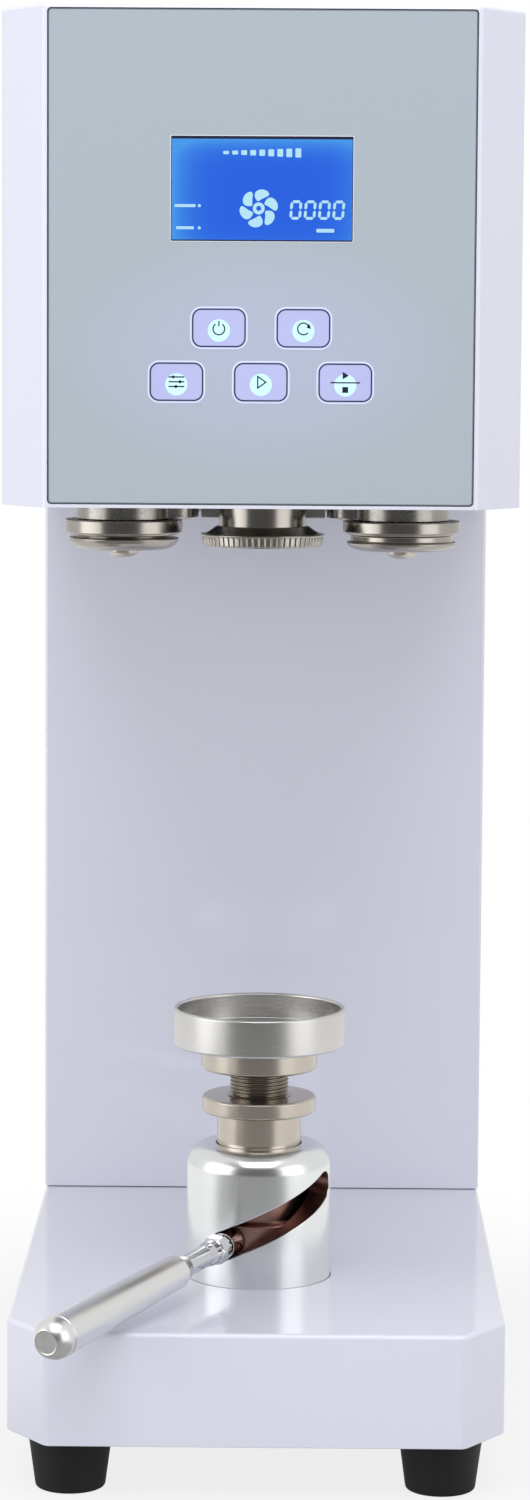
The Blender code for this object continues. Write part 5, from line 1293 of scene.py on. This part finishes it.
def make_floor():
    """A pale disc that takes a soft shadow and goes over to white away from the object. In
    reflections it is darker on the camera's side."""
    bm = bmesh.new()
    bmesh.ops.create_circle(bm, cap_ends=True, segments=FINE, radius=FLOOR_RADIUS)
    floor = placed("floor", written(bm))
    floor.location.z = -FLOOR_GAP
    material, tree, shader = new_material("white_floor")
    noise = wired(tree, "TexNoise", {"Scale": 3.0})["Fac"]
    dark, light = ((grey, grey, grey, 1) for grey in FLOOR_GREYS)
    plug(shader, {"Roughness": FLOOR_ROUGHNESS, "Base Color": mixed(tree, dark, light, noise)})
    place = wired(tree, "TexCoord")["Object"]
    reach = wired(tree, "VectorMath", {0: place}, operation="LENGTH")["Value"]
    fade = ramp(tree, reach, FLOOR_FADE, (FLOOR_WHITE, 1))
    behind = ramp(tree, behind_and_beside(tree, place), FLOOR_RAMP)
    seen, mirrored = seen_and_mirrored(tree)
    level = wired(tree, "MapRange", {"To Min": FLOOR_MIRRORED, "Value": total(tree, seen, behind)})
    white = wired(tree, "Emission", {"Color": WHITE, "Strength": level["Result"]})["Emission"]
    amount = reckoned(tree, "MULTIPLY", fade, total(tree, seen, mirrored))
    mix = wired(tree, "MixShader", {"Fac": amount, 1: shader.outputs["BSDF"], 2: white})["Shader"]
    plug(tree.nodes["Material Output"], {"Surface": mix})
    floor.data.materials.append(material)


def make_world():
    """White to the camera, dark on the camera's side and pale beside and behind in reflections."""
    world = bpy.data.worlds.new("studio")
    bpy.context.scene.world = world
    world.use_nodes = True
    tree = world.node_tree
    place = wired(tree, "TexCoord")["Generated"]
    shade = ramp(tree, behind_and_beside(tree, place), WORLD_RAMP, WORLD_MIRRORED)
    seen, mirrored = seen_and_mirrored(tree)
    level = mixed(tree, WORLD_SOFT, shade, mirrored, "FLOAT")
    level = mixed(tree, level, 1.0, seen, "FLOAT")
    plug(tree.nodes["Background"], {"Strength": level, "Color": WHITE})


def make_lamps():
    for name, (place, (width, height), power) in LAMPS.items():
        lamp = having(bpy.data.lights.new(name, "AREA"), shape="RECTANGLE", size=width,
                      size_y=height, energy=power)
        aim = Vector(LAMPS_AIM) - Vector(place)
        having(placed(name, lamp), location=place,
               rotation_euler=aim.to_track_quat("-Z", "Y").to_euler())


def make_camera():
    camera = having(bpy.data.cameras.new("photo_camera"), sensor_fit="VERTICAL",
                    sensor_height=CAMERA_SENSOR, lens=CAMERA_LENS)
    obj = placed("photo_camera", camera)
    x, y, z = CAMERA_PLACE
    obj.matrix_world = (Matrix.Translation((x, y + AXIS.y, z))
                        @ Matrix.Rotation(-CAMERA_YAW, 4, "Z")
                        @ Matrix.Rotation(pi / 2 - CAMERA_PITCH, 4, "X")
                        @ Matrix.Rotation(-CAMERA_ROLL, 4, "Z"))
    bpy.context.scene.camera = obj
    bpy.context.scene.view_settings.view_transform = "Standard"


dress_cad()
make_feet()
make_lift()
make_lever()
make_chuck()
make_rollers()
make_glass()
make_display()
make_keys()
make_back()
make_floor()
make_world()
make_lamps()
make_camera()
